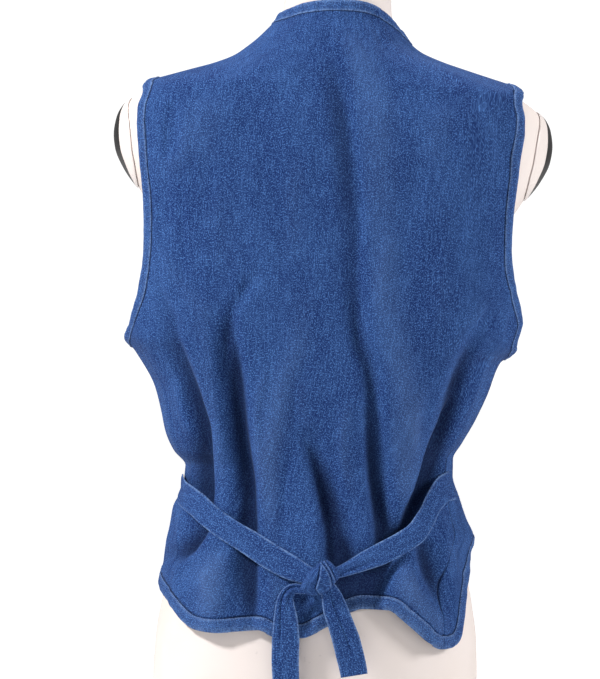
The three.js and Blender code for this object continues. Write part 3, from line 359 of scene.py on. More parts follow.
CREASES_IN_FRONT = (
    (-168, 520, -110, 440, 6, -1.5), (-120, 400, -104, 320, 6, 1.6), (-60, 520, -54, 430, 8, -1.0),
    (-90, 300, -84, 210, 7, -1.4), (-52, 330, -50, 220, 6, 1.2), (166, 515, 108, 445, 6, -1.5),
    (120, 410, 98, 330, 6, 1.5), (58, 520, 50, 440, 8, -0.9), (88, 310, 92, 220, 7, -1.3),
    (44, 340, 48, 230, 6, 1.1), (-110, 640, -84, 560, 12, 1.0), (104, 650, 80, 560, 12, 1.0),
)
# Slight waves all over: per degree of turn, per millimetre of height, and where each starts
UNEVEN_WAVES = (
    (0.31, 0.033, 0.4), (-0.47, 0.041, 1.9), (0.83, -0.025, 2.7), (0.19, 0.071, 4.1),
    (1.3, 0.012, 0.9), (-1.9, 0.021, 3.3),
)
UNEVEN_HEIGHT = 0.34
WAVE_FADE = 0.35
# Painted shade along a panel's seams at its sides and hem, and the push that counts as a full ridge or
# trough
SEAM_SHADE = 0.8
FULL_RISE = 12

# Across a binding: share of its width, height of its crown, wear, and shadow by the seam
BINDING_PROFILE = table(("share", "crown", "worn", "shadow"), [
    (0, -0.55, 0.9, 0), (0.05, 0.25, 1, 0), (0.16, 0.8, 0.5, 0), (0.35, 1.05, 0.2, 0),
    (0.55, 0.95, 0.15, 0), (0.72, 0.75, 0.2, 0), (0.83, 0.95, 0.9, 0), (0.91, 0.3, 0.2, -0.9),
    (1, -0.75, 0, -1.3),
])
# Along a stitch: share of its length, thickness, and how far it lies over the cloth
STITCH_PROFILE = table(("share", "thick", "sink"), [
    (0, 0.35, -0.5), (0.12, 0.8, -0.1), (0.35, 1, 0.05), (0.65, 1, 0.05), (0.88, 0.8, -0.1),
    (1, 0.35, -0.5),
])
# Up the cap of the form's neck: height over the neck, and share of the neck's width
NECK_CAP = table(("rise", "scale"), [
    (0.3, 0.955), (0.8, 0.985), (1.6, 1), (2.6, 1.003), (4, 0.995), (5.4, 0.97), (6.6, 0.92),
    (7.6, 0.83), (8.2, 0.68), (8.5, 0.45),
])

# The knot: its middle, how far it stands out in front of and behind that, its outline as angles
# and reaches, and the edges of its wraps: x and z along each, its step, and where it starts and ends
KNOT_MIDDLE = {"x": 1.7, "z": 227, "front": 11, "back": 7, "behind": 9}
KNOT_OUTLINE = np.array([
    (-146, 24), (-105, 19), (-80, 16.5), (-28, 14.5), (7, 19.5), (40, 17.5), (71, 18),
    (113, 11.5), (150, 12), (188, 14.5),
])
KNOT_EDGES = (
    (np.array([(15.5, -5), (13.5, 0), (10, 7), (3.8, 15.7)]), -1.5, -6, 17),
    (np.array([(11.5, -10), (9.8, 0), (6.2, 7), (0.5, 14)]), -0.7, -12, 15),
    (np.array([(0.5, -18), (-4.2, -11.8), (-1.2, -0.5), (0, 10.8)]), 1.6, -18, 11),
)
# Beside a wrap's edge: its groove, its painted shadow line and its worn line
WRAP_GROOVE = {"deep": 0.9, "at": -0.8, "half": 0.7}
WRAP_SHADE = {"deep": 1.0, "at": -0.9, "half": 0.8}
WRAP_WEAR = {"deep": 1.3, "at": 0.7, "half": 0.5}
# Across a tie, from -1 to 1: places on its outer and inner faces, and how worn its edges are. Then
# how its outer face falls at the edges and dips at the stitches, and its pleats and ripples
TIE_OUTER = np.concatenate([[-1.0, -0.985, -0.93], np.linspace(-0.84, 0.84, 21), [0.93, 0.985, 1.0]])
TIE_INNER = np.array([0.9, 0.45, 0.0, -0.45, -0.9])
TIE_EDGE_WEAR = (1.3, 1.4, 0.9, 0.1)
TIE_FACE = {"fall": 0.6, "power": 12, "dip": 0.16, "dip_half": 0.06}
TIE_PLEAT = {"across": 5.2, "drift": 0.03}
TIE_SMALL_PLEAT = {"height": 0.5, "across": 9.7, "phase": 1.1}
TIE_RIPPLE = {"height": 0.3, "along": 0.31, "wander": 1.2, "wander_along": 0.11}
# Along a hanging end: where its groove begins and where it fades, as shares of its length
GROOVE_RISE = (0.1, 0.25)
GROOVE_FADE = (0.85, 0.55)
# Ties as side, rows, stations and pleats. A hanging end has a groove too: where it starts and ends
# across the tie, and its depth
TIES = (("left", LEFT_TIE, 150, 0.9), ("right", RIGHT_TIE, 120, 1.1))
TAILS = (
    ("left", LEFT_TAIL, 110, 0.9, (-0.5, -0.35), 1.2),
    ("right", RIGHT_TAIL, 90, 0.8, (-0.15, 0.2), 1.3),
)

# Colours, from the photograph, as light values


def light_values(red, green, blue):
    """Screen values from 0 to 255 as amounts of light from 0 to 1."""
    share = np.array([red, green, blue]) / 255
    return tuple(np.where(share <= 0.04045, share / 12.92, ((share + 0.055) / 1.055) ** 2.4).tolist())


# Shares of a colour: the thread's darker and paler parts, and soil and flecks on the form's cover
THREAD_SHADES = (0.75, 1.2)
JERSEY_SOIL = (0.93, 0.91, 0.885)
JERSEY_FLECK = 0.6
DENIM_DARK = light_values(3, 23, 79)
DENIM_LIGHT = light_values(75, 116, 178)
# The colour painted into troughs and along seams as shade
DENIM_PAINTED_SHADE = light_values(0, 7, 36)
# The colour of worn edges, and of ridges, where it is partly worn fade and partly painted highlight
DENIM_WORN_AND_HIGHLIGHT = light_values(112, 142, 190)
THREAD = light_values(104, 132, 184)
FORM_COVER = light_values(230, 219, 214)
FORM_TRIM = light_values(24, 22, 22)

# The weave: its pale ground, its twill lines, and its noises as scale, detail, roughness, the two
# values between which each turns pale, its share of the paleness, and its height
PALE_GROUND = 0.03
TWILL = {"lean": 1.08, "scale": 330.0, "wander": 1.4, "detail": 2.0, "finer": 1.6,
         "pale": 0.06, "height": 0.5}
WEAVE_NOISES = (
    ((980, 700, 1), 1.0, 0.5, (0.5, 0.68), 0.8, 0.9),
    ((720, 480, 1), 2.0, 0.6, (0.48, 0.7), 0.18, 0),
    ((520, 52, 1), 2.0, 0.6, (0.46, 0.72), 0.24, 0.35),
    ((24, 10, 1), 2.0, 0.5, (0.35, 0.7), 0.12, 0),
)
# Breaks in the wear of an edge: scale, detail, roughness, and the values between which it shows
WEAR_NOISES = (
    ((420, 420, 1), 3.0, 0.7, (0.3, 0.62)),
    ((60, 60, 1), 2.0, 0.6, (0.25, 0.6)),
)
# Paling on ridges, partly worn fade and partly painted highlight, and on worn edges; and the depths between
# which a trough is painted dark as shade
RIDGE_FADE_AND_HIGHLIGHT = 0.22
EDGE_FADE = 0.75
TROUGH_DEPTHS = (0.2, 1.1)

# The stage: lights as name, place, aim, size and power, in metres and watts
LIGHTS = (
    ("key_light", (-3.0, -1.5, 3.0), (0, 0, 0.5), 0.7, 200),
    ("side_light", (3.0, -0.9, 1.8), (0, 0, 0.5), 1.2, 70),
    ("top_light", (0.2, 0.6, 3.0), (0, 0, 0.5), 1.2, 30),
)
SKY_LIGHT = 0.29
SKY_SEEN = 1.1
FLOOR_GLOW = 0.8
FLOOR_HALF_WIDTH = 60
FLOOR_POINTS = 12
CAMERA = {"x": -0.0263, "z": 0.4596, "distance": 8.0, "roll": 1.95}
FRAME_HEIGHT = 0.679
SENSOR_WIDTH = 36


# Curves and sections


def along(rows, key, value, column):
    """A smooth value of one column at a place in another.

    Cubic between rows, with harmonic slopes at the rows, so that it never overshoots.
    """
    keys, values = rows[key], rows[column]
    slope = np.diff(values) / np.diff(keys)
    product = slope[:-1] * slope[1:]
    total = slope[:-1] + slope[1:]
    inner = np.where(product > 0, 2 * product / np.where(total == 0, 1, total), 0)
    tangent = np.concatenate([slope[:1], inner, slope[-1:]])
    value = np.clip(value, keys[0], keys[-1])
    i = np.clip(np.searchsorted(keys, value) - 1, 0, len(keys) - 2)
    span = keys[i + 1] - keys[i]
    t = (value - keys[i]) / span
    h = 1 - t
    return (values[i] * h * h * (1 + 2 * t) + values[i + 1] * t * t * (1 + 2 * h)
            + span * t * h * (h * tangent[i] - t * tangent[i + 1]))


def smooth_step(low, high, value):
    """Rises softly from 0 at low to 1 at high."""
    t = np.clip((value - low) / (high - low), 0, 1)
    return t * t * (3 - 2 * t)


def bell(value, middle, width):
    """A bell curve: 1 at its middle, fading to both sides."""
    return np.exp(-((value - middle) / width) ** 2)


def run_along(points):
    """The length along lines of points, at each point."""
    steps = np.linalg.norm(np.diff(points, axis=0), axis=-1)
    return np.concatenate([np.zeros_like(steps[:1]), np.cumsum(steps, axis=0)])


def mix(a, b, t):
    """A value a share of the way from one to another."""
    return a + (b - a) * t


def solve(low, high, is_below):
    """Halves a bracket until it closes on the place where is_below turns false."""
    low, high = np.array(low, float), np.array(high, float)
    for _ in range(HALVINGS):
        middle = (low + high) / 2
        below = is_below(middle)
        low, high = np.where(below, middle, low), np.where(below, high, middle)
    return (low + high) / 2


def section_point(sections, turn, z):
    """A point on a body section: an ellipse with its corners filled out.

    x is the side's half width times the turn's sine, and y the depth times its cosine, each grown
    by the squareness where the other is large.
    """
    turn, z = np.broadcast_arrays(np.asarray(turn, float), np.asarray(z, float))
    sine, cosine = np.sin(np.radians(turn)), np.cos(np.radians(turn))
    side = np.where(sine < 0, along(sections, "z", z, "left"), along(sections, "z", z, "right"))
    depth = np.where(cosine > 0, along(sections, "z", z, "back"), along(sections, "z", z, "front"))
    square = along(sections, "z", z, "square")
    x = side * sine * (1 + square * cosine ** 2)
    y = along(sections, "z", z, "mid") - depth * cosine * (1 + square * sine ** 2)
    return np.stack([x, y, z], -1)


def form_point(turn, z):
    """A point on the dress form: its section, with a soft round rise for the bust on each side."""
    point = section_point(FORM_SECTIONS, turn, z)
    away = np.hypot(np.abs(point[..., 0]) - BUST["x"], point[..., 2] - BUST["z"]) / BUST["spread"]
    point[..., 1] += np.where(point[..., 1] > 0, BUST["height"] * np.exp(-away ** 2), 0)
    return point


def body_point(turn, z):
    """A point on the worn vest's section, without its folds."""
    return section_point(VEST_SECTIONS, turn, z)


def turn_at(x, z, in_front=False):
    """The turn at which the vest's section reaches x, behind or in front."""
    x, z = np.broadcast_arrays(np.asarray(x, float), np.asarray(z, float))
    side = np.where(x < 0, along(VEST_SECTIONS, "z", z, "left"), along(VEST_SECTIONS, "z", z, "right"))
    square = along(VEST_SECTIONS, "z", z, "square")

    def below(turn):
        sine = np.sin(np.radians(turn))
        return side * sine * (1 + square * (1 - sine ** 2)) < np.abs(x)

    turn = solve(np.zeros(x.shape), np.full(x.shape, 90.0), below)
    return np.where(x < 0, -1, 1) * (180 - turn if in_front else turn)


def unit(vectors):
    """Vectors of length 1 in the same directions."""
    return vectors / np.maximum(np.linalg.norm(vectors, axis=-1, keepdims=True), 1e-9)


def level_normal(turn, z):
    """Outward direction in the level of the section."""
    across = body_point(turn + HALF_DEGREE, z) - body_point(turn - HALF_DEGREE, z)
    return unit(np.stack([across[..., 1], -across[..., 0], np.zeros(across.shape[:-1])], -1))


# The cloth's surface


def tie_press(x, z):
    """How much the ties hold the cloth down: 1 under a tie, fading to 0 above and below it."""
    press = np.zeros(np.shape(x))
    for tie, here in ((LEFT_TIE, x < KNOT["x"]), (RIGHT_TIE, x >= KNOT["x"])):
        order = np.argsort(tie["x"])
        rows = {name: values[order] for name, values in tie.items()}
        away = np.abs(z - along(rows, "x", x, "z"))
        beyond = TIE_PRESS["beyond"]
        reach = (x > rows["x"][0] - beyond) & (x < rows["x"][-1] + beyond)
        held = 1 - smooth_step(TIE_PRESS["full"], TIE_PRESS["none"], away)
        press = np.where(here & reach, held, press)
    return press


def fold_push(point, folds):
    """Sum of folds, each a push along a line that fades to both sides as a bell."""
    x, z = point[..., 0], point[..., 2]
    push = np.zeros(x.shape)
    for one in folds:
        line = one["line"]
        across = x - along(line, "z", z, "x")
        width = np.where(across < 0, one["left"], one["right"])
        inside = (z >= line["z"][0]) & (z <= line["z"][-1])
        push += np.where(inside, along(line, "z", z, "push") * bell(across, 0, width), 0)
    return push


def crease_push(point, creases):
    """Sum of short creases: x, z of both ends, half width and push, as soft troughs and ridges."""
    x, z = point[..., 0], point[..., 2]
    push = np.zeros(x.shape)
    for x0, z0, x1, z1, width, height in creases:
        length = np.hypot(x1 - x0, z1 - z0)
        run = ((x - x0) * (x1 - x0) + (z - z0) * (z1 - z0)) / length ** 2
        bow = CREASE_BOW * length * np.sin(np.pi * np.clip(run, 0, 1))
        across = ((x - x0) * (z1 - z0) - (z - z0) * (x1 - x0)) / length - bow
        ends = smooth_step(*CREASE_RISE, run) * (1 - smooth_step(*CREASE_FADE, run))
        push += height * ends * bell(across, 0, width)
    return push


def unevenness(turn, z):
    """Slight unevenness of worn cloth: a few crossed waves of unequal length, each lower."""
    wave = np.zeros(np.shape(turn))
    for k, (per_turn, per_z, phase) in enumerate(UNEVEN_WAVES):
        wave += np.sin(per_turn * turn + per_z * z + phase) / (1 + WAVE_FADE * k)
    return UNEVEN_HEIGHT * wave


def cloth_point(turn, z):
    """The outer face of the cloth: the body section, pushed along its level normal by the folds.

    A push inwards stops softly where the cloth meets the form.
    """
    point = body_point(turn, z)
    normal = level_normal(turn, z)
    room = ((point - form_point(turn, z)) * normal).sum(-1) - CLEAR_OF_FORM
    room = np.maximum(room, LEAST_ROOM)
    behind = fold_push(point, FOLDS_BEHIND)
    behind = np.where(behind > 0, behind * (1 - tie_press(point[..., 0], z)), behind)
    behind = behind + crease_push(point, CREASES_BEHIND)
    in_front = fold_push(point, FOLDS_IN_FRONT) + crease_push(point, CREASES_IN_FRONT)
    push = mix(behind, in_front, smooth_step(-SIDE_BLEND, SIDE_BLEND, point[..., 1]))
    push = push + unevenness(turn, z)
    over = (-push / room - SOFT_STOP) / (1 - SOFT_STOP)
    soft = -room * (SOFT_STOP + (1 - SOFT_STOP) * np.tanh(over))
    push = np.where(-push > SOFT_STOP * room, soft, push)
    return point + normal * push[..., None]


def slopes(surface, turn, z):
    """How a surface runs per degree of turn and per millimetre of height."""
    per_turn = (surface(turn + TURN_STEP, z) - surface(turn - TURN_STEP, z)) / (2 * TURN_STEP)
    per_z = (surface(turn, z + HEIGHT_STEP) - surface(turn, z - HEIGHT_STEP)) / (2 * HEIGHT_STEP)
    return per_turn, per_z


def raised(turn, z, height):
    """A point at a height over the cloth's outer face, along the cloth's normal."""
    per_turn, per_z = slopes(cloth_point, turn, z)
    normal = unit(np.cross(per_turn, per_z))
    return cloth_point(turn, z) + normal * np.asarray(height, float)[..., None]


def move_over(turn, z, direction, length):
    """Moves places over the bare body by a length in a direction, in small steps."""
    step = np.asarray(length, float) / MOVE_STEPS
    for _ in range(MOVE_STEPS):
        per_turn, per_z = slopes(body_point, turn, z)
        a = (per_turn * per_turn).sum(-1)
        b = (per_turn * per_z).sum(-1)
        c = (per_z * per_z).sum(-1)
        p = (per_turn * direction).sum(-1) * step
        q = (per_z * direction).sum(-1) * step
        scale = a * c - b * b
        turn = turn + (p * c - q * b) / scale
        z = z + (q * a - p * b) / scale
    return turn, z


class BodyLine:
    """A smooth line over the body through places (turn, z), run through evenly by a share of it.

    The curve is centripetal: each stretch is a cubic whose end slopes weigh the neighbouring
    points by the root of their distance.
    """

    def __init__(self, turn, z, closed=False):
        points = np.column_stack([np.asarray(turn, float) * TURN_SCALE, z])
        if closed:
            p = np.vstack([points[-1:], points, points[:2]])
        else:
            p = np.vstack([2 * points[:1] - points[1:2], points, 2 * points[-1:] - points[-2:-1]])
        p0, p1, p2, p3 = p[:-3], p[1:-2], p[2:-1], p[3:]
        gap = [np.sqrt(np.linalg.norm(b - a, axis=1, keepdims=True))
               for a, b in ((p0, p1), (p1, p2), (p2, p3))]
        start = ((p1 - p0) / gap[0] - (p2 - p0) / (gap[0] + gap[1]) + (p2 - p1) / gap[1]) * gap[1]
        end = ((p2 - p1) / gap[1] - (p3 - p1) / (gap[1] + gap[2]) + (p3 - p2) / gap[2]) * gap[1]
        t = np.linspace(0, 1, CURVE_POINTS, endpoint=False)[None, :, None]
        p1, p2, start, end = (v[:, None, :] for v in (p1, p2, start, end))
        curve = (p1 + start * t + (3 * (p2 - p1) - 2 * start - end) * t ** 2
                 + (2 * (p1 - p2) + start + end) * t ** 3)
        last = points[:1] if closed else points[-1:]
        self.points = np.vstack([curve.reshape(-1, 2), last])
        run = run_along(self.points)
        self.length = run[-1]
        self.share = run / run[-1]

    def at(self, t):
        """The place at a share of the line."""
        turn = np.interp(t, self.share, self.points[:, 0]) / TURN_SCALE
        return turn, np.interp(t, self.share, self.points[:, 1])

    def moved(self, t, length):
        """The place at a share of the line, moved sideways over the body by a length."""
        t = np.asarray(t, float)
        turn, z = self.at(t)
        ahead = body_point(*self.at(np.minimum(t + LOOK_AHEAD, 1)))
        before = body_point(*self.at(np.maximum(t - LOOK_AHEAD, 0)))
        per_turn, per_z = slopes(body_point, turn, z)
        sideways = unit(np.cross(unit(np.cross(per_turn, per_z)), ahead - before))
        return move_over(turn, z, sideways, length)

    def share_at_turn(self, turn, low, high, rising):
        """The share of the line, between low and high, where it reaches a turn."""
        return float(solve(low, high, lambda t: (self.at(t)[0] < turn) == rising))


# Edges that the pieces share


def armhole_line(side):
    """The hole edge of an armhole: from its foot, up the back, over the tip and down the front."""
    sign, rows = SIGN[side], ARMHOLE_LEFT if side == "left" else ARMHOLE_RIGHT
    foot, tip = ARMHOLE_ENDS[side]
    behind = turn_at(sign * rows["back"], rows["z"])
    ahead = turn_at(sign * rows["front"], rows["z"], True)
    turn = np.concatenate([[sign * 90], behind, [sign * 90], ahead[::-1]])
    z = np.concatenate([[foot], rows["z"], [tip], rows["z"][::-1]])
    return BodyLine(turn, z, closed=True)


def free_edge_line():
    """The vest's free edge: up the left front, round the neck and down the right front."""
    left, right, neck = FRONT_EDGE_LEFT, FRONT_EDGE_RIGHT, NECK_EDGE_BEHIND
    turn = np.concatenate([turn_at(left["x"], left["z"], True), neck["turn"],
                           turn_at(right["x"], right["z"], True)[::-1]])
    return BodyLine(turn, np.concatenate([left["z"], neck["z"], right["z"][::-1]]))


def hem_rows():
    """The hem as heights by turn, from the middle of the front round the back to the front."""
    behind, ahead = HEM_BEHIND, HEM_IN_FRONT
    front_turn = turn_at(ahead["x"], ahead["z"], True)
    on_right, on_left = slice(None, HEM_POINTS_ON_RIGHT), slice(HEM_POINTS_ON_RIGHT, None)
    back_turn = turn_at(behind["x"], behind["z"])
    return {"turn": np.concatenate([front_turn[on_left], back_turn, front_turn[on_right]]),
            "z": np.concatenate([ahead["z"][on_left], behind["z"], ahead["z"][on_right]])}


ARMHOLE_LINES = {side: armhole_line(side) for side in SIGN}
FREE_EDGE = free_edge_line()
HEM = hem_rows()
# Where each line crosses the side of the body, looked for between two shares of it
TIP_SHARE = {"left": ARMHOLE_LINES["left"].share_at_turn(-90, 0.3, 0.7, False),
             "right": ARMHOLE_LINES["right"].share_at_turn(90, 0.3, 0.7, True)}
NECK_SHARE = {"left": FREE_EDGE.share_at_turn(-90, 0.3, 0.49, True),
              "right": FREE_EDGE.share_at_turn(90, 0.51, 0.7, True)}


def hem_height(turn):
    """The hem's height at a turn."""
    return along(HEM, "turn", turn, "z")


# The turn of each side seam at the hem. The right one is read at the hem's height near it
TURN_NEAR_RIGHT_SEAM = 45.0
RIGHT_SEAM_FOOT = hem_height(np.array([TURN_NEAR_RIGHT_SEAM]))[0]
HEM_SEAM_TURN = {"left": LEFT_SEAM_TURN,
                 "right": float(along(RIGHT_SIDE_SEAM, "z", RIGHT_SEAM_FOOT, "turn"))}


def over_hem(turn, length):
    """A hem place raised over the cloth by a length, square to the hem."""
    z = hem_height(turn)
    ahead = body_point(turn + HALF_DEGREE, hem_height(turn + HALF_DEGREE))
    run = ahead - body_point(turn - HALF_DEGREE, hem_height(turn - HALF_DEGREE))
    per_turn, per_z = slopes(body_point, turn, z)
    upward = unit(np.cross(unit(np.cross(per_turn, per_z)), unit(run)))
    return move_over(turn, z, upward, length)


def hem_seam(turn, length):
    """The seam over the hem band. Towards its two ends it keeps the hem's own turn."""
    moved_turn, moved_z = over_hem(turn, length)
    share = np.linspace(0, 1, len(turn))
    inside = smooth_step(0, HEM_END_SHARE, share) * (1 - smooth_step(1 - HEM_END_SHARE, 1, share))
    keep = 1 - inside
    return mix(moved_turn, turn, keep), moved_z


def seam_turn(side, z):
    """The turn of a side seam at a height."""
    if side == "left":
        return np.full(np.shape(z), LEFT_SEAM_TURN)
    return along(RIGHT_SIDE_SEAM, "z", z, "turn")


def over_front_edge(t, length):
    """A place inside the free edge by a length, at a share of that edge."""
    return FREE_EDGE.moved(t, -length)


def in_parts(parts, row):
    """A value at a row, even within each of the three stretches of rows."""
    return np.interp(row, [0, SIDE_SEAM_ROWS, TIP_ROW, ALL_ROWS], parts)


def side_edge(side, in_front, row, low, top, armhole_length):
    """A panel's outer edge: up the side seam, along the armhole, and up the shoulder seam."""
    line, tip = ARMHOLE_LINES[side], TIP_SHARE[side]
    share = np.clip((row - SIDE_SEAM_ROWS) / ARMHOLE_ROWS, 0, 1)
    if in_front:
        t = mix(1 - ARMHOLE_NUDGE, tip + ARMHOLE_NUDGE, share)
    else:
        t = mix(ARMHOLE_NUDGE, tip - ARMHOLE_NUDGE, share)
    turn, z = line.moved(t, np.full(t.shape, SIGN[side] * armhole_length))
    foot_z, tip_turn, tip_z = z[0], turn[-1], z[-1]
    low_part = row < SIDE_SEAM_ROWS
    seam_z = mix(low[1], foot_z, np.clip(row / SIDE_SEAM_ROWS, 0, 1))
    turn = np.where(low_part, seam_turn(side, seam_z), turn)
    z = np.where(low_part, seam_z, z)
    high_part = row > TIP_ROW
    share = np.clip((row - TIP_ROW) / SHOULDER_ROWS, 0, 1)

    def width(height):
        return along(VEST_SECTIONS, "z", height, side)

    target = mix(width(tip_z), width(top[1]), share)
    low_z, high_z = np.full(row.shape, tip_z), np.full(row.shape, top[1])
    shoulder_z = solve(low_z, high_z, lambda height: width(height) > target)
    turn = np.where(high_part, mix(tip_turn, top[0], share), turn)
    return turn, np.where(high_part, shoulder_z, z)


def stretch_rows(count):
    """Row values from hem to top, closer together at the shoulder where the body bends."""
    low = np.linspace(0, SIDE_SEAM_ROWS, int(count * HEM_ROW_SHARE), endpoint=False)
    middle = np.linspace(SIDE_SEAM_ROWS, TIP_ROW, int(count * ARMHOLE_ROW_SHARE), endpoint=False)
    high = np.linspace(TIP_ROW, ALL_ROWS, count - len(low) - len(middle))
    return np.concatenate([low, middle, high])


def back_places(rows, columns):
    """Turn and height over the back panel, between the bindings and the hem band."""
    hem = np.linspace(HEM_SEAM_TURN["left"], HEM_SEAM_TURN["right"], columns)
    hem_turn, hem_z = hem_seam(hem, HEM_BAND_WIDTH)
    neck_turn, neck_z = over_front_edge(
        np.linspace(NECK_SHARE["left"], NECK_SHARE["right"], columns), NECK_BINDING_WIDTH)
    row = stretch_rows(rows)
    left = side_edge("left", False, row, (hem_turn[0], hem_z[0]), (neck_turn[0], neck_z[0]),
                     ARMHOLE_BINDING_WIDTH)
    right = side_edge("right", False, row, (hem_turn[-1], hem_z[-1]), (neck_turn[-1], neck_z[-1]),
                      ARMHOLE_BINDING_WIDTH)
    share = np.linspace(-1, 1, columns)[None, :]
    middle = in_parts([hem_z[columns // 2], BACK_CHEST_HEIGHT, BACK_SHOULDER_HEIGHT,
                       neck_z[columns // 2]], row)[:, None]
    edge_z = np.where(share < 0, left[1][:, None], right[1][:, None])
    plain_z = mix(middle, edge_z, share ** 2)
    plain_turn = np.where(share < 0, -share * left[0][:, None], share * right[0][:, None])
    hem_pull = np.maximum(1 - row / SIDE_SEAM_ROWS, 0)[:, None] ** PULL_BEND
    first = TIP_ROW - NECK_PULL_ROWS
    neck_pull = np.maximum((row - first) / (ALL_ROWS - first), 0)[:, None] ** PULL_BEND
    turn = plain_turn + (hem_turn - plain_turn[0]) * hem_pull + (neck_turn - plain_turn[-1]) * neck_pull
    z = plain_z + (hem_z - plain_z[0]) * hem_pull + (neck_z - plain_z[-1]) * neck_pull
    return turn, z


def front_shares(side, row):
    """Shares of the free edge beside a front's rows, and along the front's short top."""
    hem_end, up = (0, 1) if side == "left" else (1, -1)
    band_top = hem_height(np.array([FREE_EDGE.at(hem_end)[0]]))[0] + HEM_BAND_WIDTH

    def share_at(height):
        share = solve(0, LONGEST_FRONT_SHARE, lambda t: FREE_EDGE.at(hem_end + up * t)[1] < height)
        return hem_end + up * float(share)

    shoulder = NECK_SHARE[side]
    corner = shoulder - up * FRONT_TOP_LENGTH / FREE_EDGE.length
    heights = (band_top, FRONT_CHEST_HEIGHT, FRONT_COLLARBONE_HEIGHT)
    return in_parts([share_at(height) for height in heights] + [corner], row), shoulder, corner


def front_places(side, rows, columns):
    """Turn and height over a front panel, from its side edge to the bound front edge."""
    row = stretch_rows(rows)
    shares, shoulder, corner = front_shares(side, row)
    front = over_front_edge(shares, NECK_BINDING_WIDTH)
    top = over_front_edge(np.linspace(shoulder, corner, columns), NECK_BINDING_WIDTH)
    hem = hem_seam(np.linspace(HEM_SEAM_TURN[side], front[0][0], columns), HEM_BAND_WIDTH)
    outer = side_edge(side, True, row, (hem[0][0], hem[1][0]), (top[0][0], top[1][0]),
                      ARMHOLE_BINDING_WIDTH)
    share = np.linspace(0, 1, columns)[None, :]
    turn = mix(outer[0][:, None], front[0][:, None], share)
    z = mix(outer[1][:, None], front[1][:, None], share ** ROW_BEND)
    hem_pull = np.maximum(1 - row / SIDE_SEAM_ROWS, 0)[:, None]
    top_pull = np.maximum(row - ALL_ROWS + 1, 0)[:, None]
    turn = turn + (hem[0] - turn[0]) * hem_pull + (top[0] - turn[-1]) * top_pull
    z = z + (hem[1] - z[0]) * hem_pull + (top[1] - z[-1]) * top_pull
    return turn[:, ::SIGN[side]], z[:, ::SIGN[side]]


# Meshes


def flat_lengths(points):
    """Lengths along the cloth from its middle column and lowest row, as a flat pattern has them."""
    u = run_along(points.swapaxes(0, 1)).T
    return u - u[:, points.shape[1] // 2, None], run_along(points)


def quads_between(rows, columns, ring=False):
    """The faces of a grid, joined round into a tube where it is a ring."""
    j, i = np.meshgrid(np.arange(rows - 1), np.arange(columns if ring else columns - 1), indexing="ij")
    after = (i + 1) % columns
    corners = (j * columns + i, j * columns + after, (j + 1) * columns + after, (j + 1) * columns + i)
    return np.stack(corners, -1).reshape(-1, 4).tolist()


def tube_faces(rings, around):
    """The faces of a tube of rings, closed at both ends."""
    faces = quads_between(rings, around, ring=True)
    faces.append(list(range(around))[::-1])
    faces.append(list(range((rings - 1) * around, rings * around)))
    return faces


def make_object(name, points, faces, uv=None, values=None, flip=False):
    """A smooth mesh from points in millimetres, with a UV map in metres and values by point."""
    mesh = bpy.data.meshes.new(name)
    points = np.asarray(points, float).reshape(-1, 3)
    faces = [face[::-1] if flip else face for face in faces]
    mesh.from_pydata((points * METRE).tolist(), [], faces)
    if uv is not None:
        corner = np.zeros(len(mesh.loops), np.int32)
        mesh.loops.foreach_get("vertex_index", corner)
        layer = mesh.uv_layers.new(name="flat")
        layer.data.foreach_set("uv", (np.asarray(uv, float).reshape(-1, 2) * METRE)[corner].ravel())
    for key, value in (values or {}).items():
        attribute = mesh.attributes.new(key, "FLOAT", "POINT")
        attribute.data.foreach_set("value", np.asarray(value, np.float32).ravel())
    mesh.shade_smooth()
    mesh.update()
    item = bpy.data.objects.new(name, mesh)
    bpy.context.collection.objects.link(item)
    return item


def make_cloth(name, points, thickness, values):
    """A panel: a grid of points as the outer face, given its thickness inwards."""
    u, v = flat_lengths(points)
    rows, columns = points.shape[:2]
    item = make_object(name, points, quads_between(rows, columns), np.stack([u, v], -1), values)
    shell = item.modifiers.new("thickness", "SOLIDIFY")
    shell.thickness = thickness * METRE
    shell.offset = -1
    return item


def make_strip(name, sections, uv, values, ring=False, flip=False):
    """A closed strip: sections of points round it, joined in order, with capped or joined ends."""
    count, sides = sections.shape[:2]
    if not ring:
        return make_object(name, sections, tube_faces(count, sides), uv, values, flip)
    sections = np.concatenate([sections, sections[:1]])
    uv = np.concatenate([uv, uv[-1:] + (uv[-1:] - uv[-2:-1])])
    values = {key: np.concatenate([value, value[:1]]) for key, value in values.items()}
    item = make_object(name, sections, quads_between(count + 1, sides, ring=True), uv, values, flip)
    merge_doubles(item)
    return item


def merge_doubles(item):
    """Joins the points that lie on each other, where a ring meets its own start."""
    cloth = bmesh.new()
    cloth.from_mesh(item.data)
    bmesh.ops.remove_doubles(cloth, verts=cloth.verts, dist=1e-6)
    cloth.to_mesh(item.data)
    cloth.free()


def finish_piece(item, finish_name, slot, *nodes):
    """Gives a piece its finish and its body, and hides the solids that it stands for."""
    item.data.materials.append(finish(finish_name))
    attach(item, "root")
    if nodes:
        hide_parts(*nodes)


def finish_cloth(item, node_name, rests_on="form_body"):
    """A piece of denim: its finish, and the solid that it stands for. Its cut is worked out and not kept.
    """
    finish_piece(item, "washed_denim", "denim", node_name)
    declare_sheet(item, rests_on)


# Materials


def node(tree, kind, **settings):
    """A node. A setting that starts with in_ is the value of the input so named."""
    made = tree.nodes.new(kind)
    for key, value in settings.items():
        if key.startswith("in_"):
            made.inputs[key[3:].replace("_", " ")].default_value = value
        else:
            setattr(made, key, value)
    return made


def group_of(name, inputs, outputs):
    """An empty shader node group with named inputs and outputs, and its two end nodes."""
    group = bpy.data.node_groups.new(name, "ShaderNodeTree")
    for label, kind in inputs:
        group.interface.new_socket(label, in_out="INPUT", socket_type=kind)
    for label, kind in outputs:
        group.interface.new_socket(label, in_out="OUTPUT", socket_type=kind)
    return group, node(group, "NodeGroupInput"), node(group, "NodeGroupOutput")


